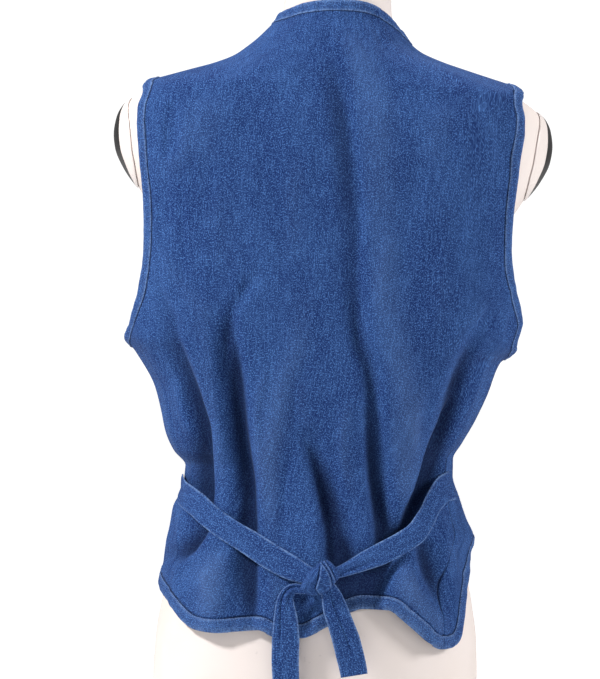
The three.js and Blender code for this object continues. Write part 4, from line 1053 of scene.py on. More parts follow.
def feed(tree, value, socket):
    """Links a node's output to a socket, or sets the socket to a plain number or colour."""
    if isinstance(value, bpy.types.NodeSocket):
        tree.links.new(value, socket)
    else:
        socket.default_value = value


def maths(tree, operation, a, b, clamp=False):
    """A Math node on sockets or plain numbers."""
    made = node(tree, "ShaderNodeMath", operation=operation, use_clamp=clamp)
    feed(tree, a, made.inputs[0])
    feed(tree, b, made.inputs[1])
    return made.outputs[0]


def colour_mix(tree, share, a, b):
    """A Mix node on colours."""
    made = node(tree, "ShaderNodeMix", data_type="RGBA")
    sockets = {socket.identifier: socket for socket in made.inputs}
    for label, value in (("Factor_Float", share), ("A_Color", a), ("B_Color", b)):
        feed(tree, value, sockets[label])
    return next(socket for socket in made.outputs if socket.identifier == "Result_Color")


def stretched_noise(tree, vector, scale, detail, roughness):
    """Noise whose grain is longer one way: the vector is multiplied before the noise."""
    mapping = node(tree, "ShaderNodeMapping", in_Scale=scale)
    tree.links.new(vector, mapping.inputs["Vector"])
    noise = node(tree, "ShaderNodeTexNoise", in_Scale=1.0, in_Detail=detail, in_Roughness=roughness)
    tree.links.new(mapping.outputs[0], noise.inputs["Vector"])
    return noise.outputs["Fac"]


def object_noise(tree, scale, detail):
    """Noise on the object's own metres."""
    place = node(tree, "ShaderNodeTexCoord")
    noise = node(tree, "ShaderNodeTexNoise", in_Scale=scale, in_Detail=detail)
    tree.links.new(place.outputs["Object"], noise.inputs["Vector"])
    return noise.outputs["Fac"]


def between_values(tree, value, low, high):
    """Spreads a value from low..high over 0..1, with soft ends."""
    made = node(tree, "ShaderNodeMapRange", interpolation_type="SMOOTHSTEP", in_From_Min=low,
                in_From_Max=high)
    tree.links.new(value, made.inputs["Value"])
    return made.outputs["Result"]


def give_bump(tree, shader, height, strength, distance):
    """Raises the surface by a height, in metres at full strength."""
    bump = node(tree, "ShaderNodeBump", in_Strength=strength, in_Distance=distance)
    tree.links.new(height, bump.inputs["Height"])
    tree.links.new(bump.outputs[0], shader.inputs["Normal"])


def denim_weave_group():
    """Blue warp over pale weft: fine twill lines, pale slubs up the cloth, and uneven dye.

    Puts out how pale each spot is, from 0 to 1, and the height of the yarns.
    """
    group, ends, out = group_of("denim_weave", [("Flat", "NodeSocketVector")],
                                [("Pale", "NodeSocketFloat"), ("Yarn Height", "NodeSocketFloat")])
    flat = ends.outputs["Flat"]
    turned = node(group, "ShaderNodeMapping", in_Rotation=(0, 0, TWILL["lean"]))
    group.links.new(flat, turned.inputs["Vector"])
    lines = node(group, "ShaderNodeTexWave", wave_type="BANDS", bands_direction="X",
                 in_Scale=TWILL["scale"], in_Distortion=TWILL["wander"], in_Detail=TWILL["detail"],
                 in_Detail_Scale=TWILL["finer"])
    group.links.new(turned.outputs[0], lines.inputs["Vector"])
    twill = lines.outputs["Fac"]
    pale, height = PALE_GROUND, maths(group, "MULTIPLY", twill, TWILL["height"])
    for scale, detail, roughness, between, pale_share, raised_by in WEAVE_NOISES:
        noise = stretched_noise(group, flat, scale, detail, roughness)
        spots = between_values(group, noise, *between)
        pale = maths(group, "ADD", maths(group, "MULTIPLY", spots, pale_share), pale)
        if raised_by:
            height = maths(group, "ADD", height, maths(group, "MULTIPLY", noise, raised_by))
    pale = maths(group, "ADD", pale, maths(group, "MULTIPLY", twill, TWILL["pale"]), clamp=True)
    group.links.new(pale, out.inputs["Pale"])
    group.links.new(height, out.inputs["Yarn Height"])
    return group


def edge_wear_group():
    """Wear where cloth is folded over: a mask by point, broken up along the edge."""
    group, ends, out = group_of("edge_wear", [("Flat", "NodeSocketVector"), ("Edge", "NodeSocketFloat")],
                                [("Worn", "NodeSocketFloat")])
    short, long = (
        between_values(group, stretched_noise(group, ends.outputs["Flat"], *noise), *between)
        for *noise, between in WEAR_NOISES)
    breaks = maths(group, "MULTIPLY", short, long)
    worn = maths(group, "MULTIPLY", ends.outputs["Edge"], breaks, clamp=True)
    group.links.new(worn, out.inputs["Worn"])
    return group


def principled(name, **inputs):
    """A material and its Principled shader, with the shader's inputs set by name."""
    material = bpy.data.materials.new(name)
    material.use_nodes = True
    shader = material.node_tree.nodes["Principled BSDF"]
    for label, value in inputs.items():
        shader.inputs[label.replace("_", " ")].default_value = value
    return material.node_tree, shader


def denim_material(sizes):
    """Denim on the cloth's own flat map. Ridges are painted paler, partly as worn fade and partly as
    highlight, and troughs and seams are painted darker as shade.
    """
    tree, shader = principled("washed_denim", Roughness=0.88, Specular_IOR_Level=0.1, Sheen_Weight=0.05,
                              Sheen_Roughness=0.5, Sheen_Tint=(0.55, 0.68, 1.0, 1))
    dark, light = (*sizes.denim_dark, 1), (*sizes.denim_light, 1)
    shade_colour, palest = (*sizes.denim_painted_shade, 1), (*sizes.denim_worn_and_highlight, 1)
    flat = node(tree, "ShaderNodeUVMap", uv_map="flat").outputs[0]
    edge = node(tree, "ShaderNodeAttribute", attribute_name="edge").outputs["Fac"]
    rise = node(tree, "ShaderNodeAttribute", attribute_name="rise").outputs["Fac"]
    woven = node(tree, "ShaderNodeGroup", node_tree=denim_weave_group())
    tree.links.new(flat, woven.inputs["Flat"])
    worn = node(tree, "ShaderNodeGroup", node_tree=edge_wear_group())
    tree.links.new(flat, worn.inputs["Flat"])
    tree.links.new(edge, worn.inputs["Edge"])
    dyed = colour_mix(tree, woven.outputs["Pale"], dark, light)
    # Paler on ridges: partly worn fade, partly painted highlight
    ridge = maths(tree, "MULTIPLY", maths(tree, "MAXIMUM", rise, 0.0), RIDGE_FADE_AND_HIGHLIGHT, clamp=True)
    faded = colour_mix(tree, ridge, dyed, palest)
    # Painted shade: the cloth is darker the deeper it lies in a trough
    depth = between_values(tree, maths(tree, "MULTIPLY", rise, -1.0), *TROUGH_DEPTHS)
    trough = maths(tree, "MULTIPLY", depth, sizes.trough_painted_shade, clamp=True)
    deep = colour_mix(tree, trough, faded, shade_colour)
    edged = colour_mix(tree, maths(tree, "MULTIPLY", worn.outputs["Worn"], EDGE_FADE), deep, palest)
    tree.links.new(edged, shader.inputs["Base Color"])
    give_bump(tree, shader, woven.outputs["Yarn Height"], strength=0.35, distance=0.0004)


def thread_material(sizes):
    """Sewing thread: twisted, so that it is paler and darker along each stitch."""
    tree, shader = principled("sewing_thread", Roughness=0.6)
    darker, paler = ((*[min(c * shade, 1) for c in sizes.thread], 1) for shade in THREAD_SHADES)
    tint = colour_mix(tree, object_noise(tree, 900.0, 2.0), darker, paler)
    tree.links.new(tint, shader.inputs["Base Color"])


def form_material(sizes):
    """The form's cover: fine close jersey, a little soiled in soft clouds, with a dull sheen."""
    tree, shader = principled("form_jersey", Roughness=0.62, Specular_IOR_Level=0.3)
    shade = (*[c * k for c, k in zip(sizes.form_cover, JERSEY_SOIL)], 1)
    fleck = (*[c * JERSEY_FLECK for c in sizes.form_cover], 1)
    clouds = between_values(tree, object_noise(tree, 7.0, 4.0), 0.42, 0.75)
    soiled = colour_mix(tree, clouds, (*sizes.form_cover, 1), shade)
    specks = between_values(tree, object_noise(tree, 160.0, 3.0), 0.7, 0.78)
    dotted = colour_mix(tree, maths(tree, "MULTIPLY", specks, 0.25), soiled, fleck)
    tree.links.new(dotted, shader.inputs["Base Color"])
    give_bump(tree, shader, object_noise(tree, 1500.0, 1.0), strength=0.15, distance=0.0003)


def trim_material(sizes):
    """The arm plate: the form's own cover round a black satin cap with faint scuffs."""
    tree, shader = principled("form_satin", Roughness=0.42)
    scuffed = (*[c * 2.2 + 0.01 for c in sizes.form_trim], 1)
    spots = between_values(tree, object_noise(tree, 60.0, 5.0), 0.5, 0.8)
    tint = colour_mix(tree, spots, (*sizes.form_trim, 1), scuffed)
    cap = node(tree, "ShaderNodeAttribute", attribute_name="cap")
    capped = between_values(tree, cap.outputs["Fac"], -ARM_CAP["blend"], ARM_CAP["blend"])
    colour = colour_mix(tree, capped, (*sizes.form_cover, 1), tint)
    tree.links.new(colour, shader.inputs["Base Color"])
    roughness = maths(tree, "ADD", maths(tree, "MULTIPLY", spots, 0.25), 0.38)
    tree.links.new(roughness, shader.inputs["Roughness"])


FINISHES = {"washed_denim": denim_material, "sewing_thread": thread_material,
            "form_jersey": form_material, "form_satin": trim_material}


def finish(name):
    """The finish by that name, made the first time it is asked for."""
    if name not in bpy.data.materials:
        FINISHES[name](bpy.context.scene.vest_finishes)
    return bpy.data.materials[name]


# Pieces


def rise_of(turn, z):
    """How far the cloth stands out (1) or lies in a trough (-1), for the painted highlight and fade on
    ridges and the painted shade in troughs.
    """
    point = body_point(turn, z)
    behind = fold_push(point, FOLDS_BEHIND) + crease_push(point, CREASES_BEHIND)
    in_front = fold_push(point, FOLDS_IN_FRONT) + crease_push(point, CREASES_IN_FRONT)
    return np.clip(np.where(point[..., 1] < 0, behind, in_front) / FULL_RISE, -1, 1)


def panel_object(name, places, thickness):
    """A panel on the cloth's surface, with painted shade along its seams at both sides and the hem."""
    turn, z = places
    points = raised(turn, z, np.zeros(turn.shape))
    rise = rise_of(turn, z)
    # Painted shade along the seams at both sides and at the hem
    for seam in (rise[:, 0], rise[:, -1], rise[0]):
        seam -= SEAM_SHADE
    values = {"rise": np.clip(rise, -1, 1), "edge": np.zeros(rise.shape)}
    return make_cloth(name, points, thickness, values)


def pucker_waves(k):
    """Uneven waves along a binding, from -1 to 1: one that wanders, and a quicker, lower one."""
    wandering = np.sin(k * 0.83 + 2.1 * np.sin(k * 0.13))
    quicker = 0.6 * np.sin(k * 1.37 + 1.3)
    return (wandering + quicker) / 1.6


def make_binding(name, edge, seam, thickness, pucker, ring, flip):
    """A folded strip from the free edge to the seam.

    Across it the outer face rises in a flat crown and falls at the seam; along it the crown swells
    and sinks in short uneven waves, where the stitches draw the cloth together.
    """
    share = BINDING_PROFILE["share"]
    middle = len(share) // 2
    crown = BINDING_PROFILE["crown"] * BINDING_RAISE * CROWN_SWELL
    outer_turn = mix(edge[0][:, None], seam[0][:, None], share)
    outer_z = mix(edge[1][:, None], seam[1][:, None], share)
    k = np.arange(len(edge[0]))[:, None]
    lump = pucker * pucker_waves(k) * np.sin(np.pi * share) ** 0.6
    outer = raised(outer_turn, outer_z, crown + lump)
    inner_turn, inner_z = outer_turn[:, ::-1][:, 1:-1:2], outer_z[:, ::-1][:, 1:-1:2]
    inner = raised(inner_turn, inner_z, np.full(inner_turn.shape, BINDING_RAISE - thickness))
    sections = np.concatenate([outer, inner], axis=1)
    width = np.linalg.norm(outer[:, -1] - outer[:, 0], axis=-1).mean()
    across = np.concatenate([share * width, width * (1 + share[::-1][1:-1:2])])
    uv = grid_of(across, run_along(outer[:, middle]))
    hidden = np.zeros(inner.shape[1])
    worn = np.broadcast_to(np.concatenate([BINDING_PROFILE["worn"], hidden]), sections.shape[:2])
    # Painted shadow by the seam, over a share of the cloth's painted fold shade and ridge highlight
    shadow = np.concatenate([BINDING_PROFILE["shadow"], hidden])
    cloth_rise = rise_of(outer_turn[:, middle, None], outer_z[:, middle, None])
    rise = np.clip(cloth_rise * BINDING_FOLD_SHADE_SHARE + shadow, -1, 1)
    return make_strip(name, sections, uv, {"edge": worn, "rise": rise}, ring, flip)


def grid_of(across, run):
    """Every place across a strip at every place along it."""
    return np.stack(np.meshgrid(across, run), -1)


def stitches_along(name, turn, z):
    """A run of short thread stitches along places: each a small six-sided bead sunk at both ends."""
    sizes = bpy.context.scene.vest_finishes
    points = raised(turn, z, np.full(np.shape(turn), STITCH_HEIGHT))
    run = run_along(points)
    starts = np.arange(0, run[-1] - sizes.stitch_length, sizes.stitch_length + sizes.stitch_gap)
    thick = STITCH_PROFILE["thick"] * sizes.thread_width / 2
    sink = STITCH_PROFILE["sink"] * sizes.thread_width
    places = starts[:, None] + STITCH_PROFILE["share"] * sizes.stitch_length
    line = np.stack([np.interp(places, run, points[:, c]) for c in range(3)], -1)
    direction = unit(line[:, -1:] - line[:, :1])
    outward = unit(line * BODY_ROUNDNESS + 1e-6)
    outward = unit(outward - (outward * direction).sum(-1, keepdims=True) * direction)
    sideways = np.cross(direction, outward)
    angle = np.arange(STITCH_SIDES) * np.pi / (STITCH_SIDES / 2)
    ring = outward[:, :, None] * np.cos(angle)[:, None] + sideways[:, :, None] * np.sin(angle)[:, None]
    centre = line + outward * sink[:, None]
    body = centre[:, :, None] + ring * thick[:, None, None]
    count, levels, sides = body.shape[:3]
    first = np.arange(count) * levels * sides
    faces = np.array(quads_between(levels, sides, ring=True))[None] + first[:, None, None]
    faces = faces.reshape(-1, 4).tolist()
    for end in (np.arange(sides)[::-1], (levels - 1) * sides + np.arange(sides)):
        faces += (end[None] + first[:, None]).tolist()
    finish_piece(make_object(name, body, faces), "sewing_thread", "denim")


def strip_heights(across):
    """Heights across a strip of double cloth: flat, a stitched dip inside each edge, then rounded."""
    fall = TIE_FACE["fall"] * np.abs(across) ** TIE_FACE["power"]
    dip = TIE_FACE["dip"] * bell(np.abs(across), STITCHED_DIP, TIE_FACE["dip_half"])
    return TIE_THICKNESS * (1 - fall - dip)


def main_pleat(across, station):
    """The main pleat of a tie: a wave across it, which drifts slowly along it."""
    return np.sin(across * TIE_PLEAT["across"] + station * TIE_PLEAT["drift"])


def small_pleat(across):
    """The narrower pleats of a tie, which don't drift."""
    wave = np.sin(across * TIE_SMALL_PLEAT["across"] + TIE_SMALL_PLEAT["phase"])
    return TIE_SMALL_PLEAT["height"] * wave


def edge_ripple(across, station):
    """Small uneven waves along a tie, which rise towards its edges."""
    wander = TIE_RIPPLE["wander"] * np.sin(station * TIE_RIPPLE["wander_along"])
    wave = TIE_RIPPLE["height"] * np.sin(station * TIE_RIPPLE["along"] + wander)
    return wave * np.abs(across) ** 3


def tie_sections(at_station, half, rise, pleat, groove):
    """Sections of a tie: an outer face, an inner one, soft pleats, and one groove along it.

    The groove is a row per station of where it lies across the tie and how deep it is.
    """
    outer, inner = TIE_OUTER, TIE_INNER
    k = np.arange(len(half))[:, None]
    folds = pleat[:, None] * (main_pleat(outer, k) + small_pleat(outer))
    valley = bell(outer, groove[0][:, None], 0.1)
    outer_height = rise[:, None] + strip_heights(outer) + edge_ripple(outer, k) + folds
    outer_height -= groove[1][:, None] * valley
    outer_height[:, [0, -1]] = (rise + TIE_THICKNESS * 0.2)[:, None]
    inner_height = rise[:, None] + 0.5 * pleat[:, None] * main_pleat(inner, k)
    points = np.concatenate([at_station(outer, outer_height), at_station(inner, inner_height)], axis=1)
    width = half.mean() * 2
    across = np.concatenate([(outer + 1) * width / 2, width + (1 - inner) * width / 2])
    uv = grid_of(across, run_along(points[:, len(outer) // 2]))
    middle = np.zeros(len(outer) - 2 * len(TIE_EDGE_WEAR))
    worn = np.concatenate([TIE_EDGE_WEAR, middle, TIE_EDGE_WEAR[::-1], np.zeros(len(inner))])
    edge = np.broadcast_to(worn, points.shape[:2])
    # Painted shade, carried as the rise: darker in the groove and along the stitched dips
    shade = np.zeros(points.shape[:2])
    shade[:, :len(outer)] = 0.05 - 0.7 * valley * np.minimum(groove[1][:, None], 1)
    shade[:, :len(outer)] -= 0.35 * bell(np.abs(outer), STITCHED_DIP, 0.05)
    return points, uv, {"edge": edge, "rise": shade}


def tie_on_cloth(name, rows, stations, pleats):
    """A tie along the body: places moved to both sides of its middle line, lifted off the body."""
    line = BodyLine(turn_at(rows["x"], rows["z"]), rows["z"])
    t = np.linspace(0, 1, stations)
    x = body_point(*line.at(t))[:, 0]
    order = np.argsort(rows["x"])
    by_x = {key: values[order] for key, values in rows.items()}
    half = along(by_x, "x", x, "half")
    rise = TIE_LIFT + along(by_x, "x", x, "lift")

    def at_station(across, height):
        turn, z = line.moved(np.repeat(t[:, None], len(across), 1), half[:, None] * across)
        return body_point(turn, z) + level_normal(turn, z) * height[..., None]

    pleat = pleats * smooth_step(FLAT_HALF, PLEATED_HALF, half)
    no_groove = np.zeros((2, stations))
    return make_strip(name, *tie_sections(at_station, half, rise, pleat, no_groove))


def tie_end(name, rows, stations, pleats, groove):
    """A hanging end: it leaves the knot, turns over and falls straight from the level of the hem."""
    spots = np.column_stack([rows["x"], rows["z"]])
    steps = np.linspace(0, len(spots) - 1, stations)
    path = smooth_path(spots, steps)
    tangent = unit(np.gradient(path, axis=0))
    half = np.interp(steps, np.arange(len(spots)), rows["half"])
    lift = TIE_LIFT + np.interp(steps, np.arange(len(spots)), rows["lift"])

    def at_station(across, height):
        x = path[:, :1] - tangent[:, 1:] * half[:, None] * across
        z = path[:, 1:] + tangent[:, :1] * half[:, None] * across
        rest = np.maximum(z, HANG_HEIGHT)
        turn = turn_at(x, rest)
        point = body_point(turn, rest) + level_normal(turn, rest) * height[..., None]
        point[..., 2] = z
        return point

    pleat = pleats * smooth_step(FLAT_HALF, PLEATED_END_HALF, half)
    return make_strip(name, *tie_sections(at_station, half, lift, pleat, groove))


def smooth_path(points, steps):
    """A path through points, each stretch a cubic with slopes taken from its neighbours."""
    p = np.vstack([2 * points[:1] - points[1:2], points, 2 * points[-1:] - points[-2:-1]])
    i = np.clip(np.floor(steps).astype(int), 0, len(points) - 2)
    t = (steps - i)[:, None]
    a, b, c, d = p[i], p[i + 1], p[i + 2], p[i + 3]
    square, cube = 2 * a - 5 * b + 4 * c - d, 3 * b - a - 3 * c + d
    return 0.5 * (2 * b + (c - a) * t + square * t ** 2 + cube * t ** 3)


def knot_centre():
    """The knot's middle, off the cloth under it."""
    base = body_point(turn_at(KNOT["x"], KNOT["z"]), KNOT["z"])
    return np.array([KNOT_MIDDLE["x"], base[1] - TIE_LIFT - KNOT_MIDDLE["behind"], KNOT_MIDDLE["z"]])


def knot_points(levels, around):
    """The knot: a cushion on an uneven outline, crossed by the edges of its wraps.

    A point is a share of the way from the middle to the outline, at an angle. The cushion is high
    in the middle and closes at the outline, behind as in front. Along each wrap's edge the cloth
    steps up by its thickness, with a painted shadow line at the foot of the step and a worn one on top.
    """
    share = np.sin(np.linspace(0, np.pi, levels))[:, None]
    front = np.cos(np.linspace(0, np.pi, levels))[:, None]
    angle = np.linspace(-180, 180, around, endpoint=False)
    reach = np.interp(angle, KNOT_OUTLINE[:, 0], KNOT_OUTLINE[:, 1], period=360)
    reach = np.mean([np.roll(reach, k) for k in range(-3, 4)], axis=0)
    x = share * reach * np.cos(np.radians(angle))
    z = share * reach * np.sin(np.radians(angle))
    deep = np.where(front > 0, KNOT_MIDDLE["front"], KNOT_MIDDLE["back"])
    height = deep * np.sign(front) * np.abs(front) ** 0.8 * np.ones(x.shape)
    edge, shade = np.zeros(x.shape), np.zeros(x.shape)
    for line, step, low, high in KNOT_EDGES:
        away = x - np.interp(z, line[:, 1], line[:, 0])
        within = smooth_step(low - 1.5, low + 1, z) * (1 - smooth_step(high - 1, high + 1.5, z))
        here = within * (front > 0)
        over = np.sign(step) * away
        height = height + np.abs(step) * here * smooth_step(-0.8, 0.8, over) * np.clip(front, 0, 1) ** 0.4
        height = height - WRAP_GROOVE["deep"] * here * bell(over, WRAP_GROOVE["at"], WRAP_GROOVE["half"])
        shade = shade - WRAP_SHADE["deep"] * here * bell(over, WRAP_SHADE["at"], WRAP_SHADE["half"])
        edge = edge + WRAP_WEAR["deep"] * here * bell(over, WRAP_WEAR["at"], WRAP_WEAR["half"])
    wave = 0.35 * np.sin(x * 0.55 + z * 0.8) + 0.25 * np.sin(x * 1.1 - z * 0.5 + 1)
    height = height + wave * (front > 0) * (1 - share ** 4)
    centre = knot_centre()
    points = np.stack([centre[0] + x, centre[1] - height, centre[2] + z], -1)
    return points, edge, shade


def size_property(name, description, default, least, most):
    """A length in millimetres on the panel."""
    return bpy.props.FloatProperty(name=name, description=description + ", in millimetres",
                                   default=default, min=least, max=most)


def colour_property(name, description, default):
    """A colour on the panel."""
    return bpy.props.FloatVectorProperty(name=name, description=description, subtype="COLOR",
                                         default=default, min=0, max=1)


class VestFinishes(bpy.types.PropertyGroup):
    """Sizes and colours of the vest's finish."""

    cloth_thickness: size_property("Cloth thickness", "Thickness of the denim", 1.1, 0.6, 2)
    binding_thickness: size_property("Binding thickness", "Thickness of the folded bindings", 2.6, 1.5, 3.5)
    pucker: size_property("Pucker", "Height of the small waves along a binding", 0.32, 0, 0.8)
    stitch_length: size_property("Stitch length", "Length of one stitch", 2.4, 1.5, 5)
    stitch_gap: size_property("Stitch gap", "Gap between stitches", 0.6, 0.3, 2)
    thread_width: size_property("Thread width", "Width of the thread", 0.5, 0.3, 1)
    # How much the painted shade darkens the cloth's troughs
    trough_painted_shade: bpy.props.FloatProperty(
        name="Painted shade in troughs", description="How much darker the cloth is where it has been folded in",
        default=0.8, min=0, max=1, subtype="FACTOR")
    denim_dark: colour_property("Warp", "Colour of the blue yarns", DENIM_DARK)
    denim_light: colour_property("Weft", "Colour where the pale yarns show", DENIM_LIGHT)
    # The colour of the painted shade in the folds
    denim_painted_shade: colour_property("Painted fold shade", "Colour at the bottom of the folds", DENIM_PAINTED_SHADE)
    # Also the colour of the ridges' paling, partly worn fade and partly painted highlight
    denim_worn_and_highlight: colour_property("Worn", "Colour of worn edges", DENIM_WORN_AND_HIGHLIGHT)
    thread: colour_property("Thread", "Colour of the sewing thread", THREAD)
    form_cover: colour_property("Form cover", "Colour of the dress form", FORM_COVER)
    form_trim: colour_property("Form trim", "Colour of the arm plates", FORM_TRIM)


class VestPiece:
    """What all the vest's operators share."""

    bl_options = {"REGISTER", "UNDO"}


class VEST_OT_back(VestPiece, bpy.types.Operator):
    """Makes the plain back panel with its folds"""

    bl_idname = "vest.back"
    bl_label = "Back"

    def execute(self, context):
        thickness = context.scene.vest_finishes.cloth_thickness
        finish_cloth(panel_object("vest_back", back_places(*BACK_GRID), thickness), "back")
        return {"FINISHED"}


class VEST_OT_fronts(VestPiece, bpy.types.Operator):
    """Makes the two open front panels"""

    bl_idname = "vest.fronts"
    bl_label = "Fronts"

    def execute(self, context):
        thickness = context.scene.vest_finishes.cloth_thickness
        for side in SIGN:
            item = panel_object(f"vest_front_{side}", front_places(side, *FRONT_GRID), thickness)
            finish_cloth(item, f"front_{side}")
        return {"FINISHED"}


class VEST_OT_bindings(VestPiece, bpy.types.Operator):
    """Makes the bindings of the neck, fronts and armholes, and stitches them down"""

    bl_idname = "vest.bindings"
    bl_label = "Bindings"

    def execute(self, context):
        sizes = context.scene.vest_finishes
        t = np.linspace(0, 1, FREE_EDGE_POINTS)
        seam = over_front_edge(t, np.full(t.shape, NECK_BINDING_WIDTH + SEAM_OVERLAP))
        item = make_binding("vest_binding_neck_and_fronts", FREE_EDGE.at(t), seam,
                            sizes.binding_thickness, sizes.pucker, False, True)
        finish_cloth(item, "binding_neck_and_fronts")
        line = over_front_edge(t, np.full(t.shape, NECK_BINDING_WIDTH - STITCH_INSET))
        stitches_along("vest_stitches_neck_and_fronts", *line)
        for side, hole in ARMHOLE_LINES.items():
            t = np.linspace(0, 1, ARMHOLE_POINTS, endpoint=False)
            width = SIGN[side] * (ARMHOLE_BINDING_WIDTH + SEAM_OVERLAP)
            seam = hole.moved(t, np.full(t.shape, width))
            item = make_binding(f"vest_binding_armhole_{side}", hole.at(t), seam,
                                sizes.binding_thickness, sizes.pucker * ARMHOLE_PUCKER, True,
                                side == "left")
            finish_cloth(item, f"binding_armhole_{side}")
            t = np.linspace(0, 1, ARMHOLE_STITCH_POINTS)
            width = SIGN[side] * (ARMHOLE_BINDING_WIDTH - STITCH_INSET)
            line = hole.moved(t, np.full(t.shape, width))
            stitches_along(f"vest_stitches_armhole_{side}", *line)
        return {"FINISHED"}


class VEST_OT_hem(VestPiece, bpy.types.Operator):
    """Makes the turned hems of the three panels, and stitches them down"""

    bl_idname = "vest.hem"
    bl_label = "Hem"

    def execute(self, context):
        sizes = context.scene.vest_finishes
        left, right = HEM_SEAM_TURN["left"], HEM_SEAM_TURN["right"]
        ends = np.array([0.0, 1.0])
        front = over_front_edge(ends, np.full(ends.shape, NECK_BINDING_WIDTH))[0]
        spans = {"back": (left, right), "front_left": (left, front[0]), "front_right": (right, front[1])}
        for panel, (first, last) in spans.items():
            turn = np.linspace(first, last, HEM_POINTS[panel])
            seam = hem_seam(turn, HEM_BAND_WIDTH + SEAM_OVERLAP)
            item = make_binding(f"vest_hem_{panel}", (turn, hem_height(turn)), seam,
                                sizes.binding_thickness, sizes.pucker, False, last < first)
            finish_cloth(item, f"hem_band_{panel}")
            line = hem_seam(turn, HEM_BAND_WIDTH - STITCH_INSET)
            stitches_along(f"vest_hem_{panel}_stitches", *line)
        return {"FINISHED"}


class VEST_OT_ties(VestPiece, bpy.types.Operator):
    """Makes the two ties, their knot and the hanging ends"""

    bl_idname = "vest.ties"
    bl_label = "Ties and knot"

    def execute(self, context):
        for side, rows, stations, pleats in TIES:
            item = tie_on_cloth(f"vest_tie_{side}", rows, stations, pleats)
            finish_cloth(item, f"tie_{side}", "vest_back")
        for side, rows, stations, pleats, across, depth in TAILS:
            k = np.linspace(0, 1, stations)
            deep = depth * smooth_step(*GROOVE_RISE, k) * smooth_step(*GROOVE_FADE, k)
            item = tie_end(f"vest_tie_end_{side}", rows, stations, pleats, (mix(*across, k), deep))
            finish_cloth(item, f"tie_end_{side}", "vest_back")
        # The knot's shade is painted: dark lines at the feet of its wraps' steps, carried as the rise
        points, edge, shade = knot_points(*KNOT_GRID)
        item = make_object("vest_knot", points, tube_faces(*KNOT_GRID),
                           np.stack(flat_lengths(points), -1),
                           {"edge": edge, "rise": np.clip(shade + 0.05, -1, 1)})
        finish_piece(item, "washed_denim", "denim", "tie_knot")
        return {"FINISHED"}


class VEST_OT_form(VestPiece, bpy.types.Operator):
    """Makes the limbless dress form that the vest is worn by"""

    bl_idname = "vest.form"
    bl_label = "Dress form"

    def execute(self, context):
        change = FORM_ROWS["change"]
        z = np.concatenate([np.linspace(0, change, FORM_ROWS["low"], endpoint=False),
                            np.linspace(change, NECK_TOP, FORM_ROWS["high"])])
        turn = np.linspace(-180, 180, FORM_AROUND, endpoint=False)
        points = form_point(turn[None, :], z[:, None])
        item = make_closed_body("form_body_cover", points)
        finish_piece(item, "form_jersey", "form_cover", "form_body")
        ring = form_point(turn, np.full(turn.shape, NECK_TOP))
        centre = ring.mean(axis=0)
        cap = centre + (ring - centre)[None] * NECK_CAP["scale"][:, None, None]
        cap[..., 2] = NECK_TOP + NECK_CAP["rise"][:, None]
        item = make_closed_body("form_neck_cap_cover", cap)
        finish_piece(item, "form_jersey", "form_cover", "form_neck_cap")
        for side, sign in SIGN.items():
            points, cap = arm_plate_points(sign)
            item = make_closed_body(f"form_arm_plate_cover_{side}", points, sign < 0, {"cap": cap})
            finish_piece(item, "form_satin", "form_trim", f"form_arm_plate_{side}")
        return {"FINISHED"}


def make_closed_body(name, points, flip=False, values=None):
    """Rings of points from the bottom up, closed at both ends."""
    return make_object(name, points, tube_faces(*points.shape[:2]), values=values, flip=flip)


def arm_plate_points(sign):
    """A domed oval plate on the form's side: rings out from the middle under it and back over it.

    Also gives how far each point lies inside the dark cap: above 0 in it, below 0 round it.
    """
    rings, around = ARM_PLATE_GRID
    share = np.linspace(ARM_PLATE_FIRST_RING, 1, rings)
    angle = np.linspace(0, 2 * np.pi, around, endpoint=False)
    across, up = share[:, None] * np.cos(angle), share[:, None] * np.sin(angle)
    y = ARM_PLATE["y"] + ARM_PLATE["half_depth"] * across
    z = ARM_PLATE["z"] + ARM_PLATE["half_height"] * up
    turn = solve(np.full(y.shape, 20.0), np.full(y.shape, 160.0), lambda a: form_point(a, z)[..., 1] < y)
    base = form_point(turn, z)
    inner, outer = base.copy(), base.copy()
    inner[..., 0] += ARM_PLATE["seat"]
    rounded = np.sqrt(np.maximum(1 - share ** 6, 0))[:, None]
    lip = ARM_PLATE["lip"]
    outer[..., 0] += ARM_PLATE["seat"] + lip + (ARM_PLATE["rim"] - lip) * rounded
    outer[..., 0] += ARM_PLATE["dome"] * (1 - share[:, None] ** 2)
    cap = 1 - (across / ARM_CAP["depth"]) ** 2 - (up / ARM_CAP["height"]) ** 2
    points = np.concatenate([inner, outer[::-1]])
    points[..., 0] *= sign
    return points, np.concatenate([cap, cap[::-1]])


def declare_sheet(item, *rests_on):
    """Works out the piece's cut, as wide and as long as its flat pattern, with the area of one face, and
    keeps none of it.
    """
    mesh = item.data
    layers = 1 if item.modifiers else 2
    uv = np.zeros(len(mesh.loops) * 2)
    mesh.uv_layers["flat"].data.foreach_get("uv", uv)
    uv = uv.reshape(-1, 2)
    width, length = uv.max(axis=0) - uv.min(axis=0)
    width /= layers
    area = np.zeros(len(mesh.polygons))
    mesh.polygons.foreach_get("area", area)


class VEST_OT_stage(VestPiece, bpy.types.Operator):
    """Sets up the pale floor, the soft lights and the camera"""

    bl_idname = "vest.stage"
    bl_label = "Stage"

    def execute(self, context):
        make_floor()
        make_daylight()
        for name, place, target, size, energy in LIGHTS:
            light = bpy.data.lights.new(name, "AREA")
            light.shape = "DISK"
            light.size = size
            light.energy = energy
            item = bpy.data.objects.new(name, light)
            item.location = place
            direction = np.array(target) - np.array(place)
            item.rotation_euler = Vector(direction).to_track_quat("-Z", "Y").to_euler()
            bpy.context.collection.objects.link(item)
        context.scene.view_settings.view_transform = "Standard"
        make_camera()
        return {"FINISHED"}


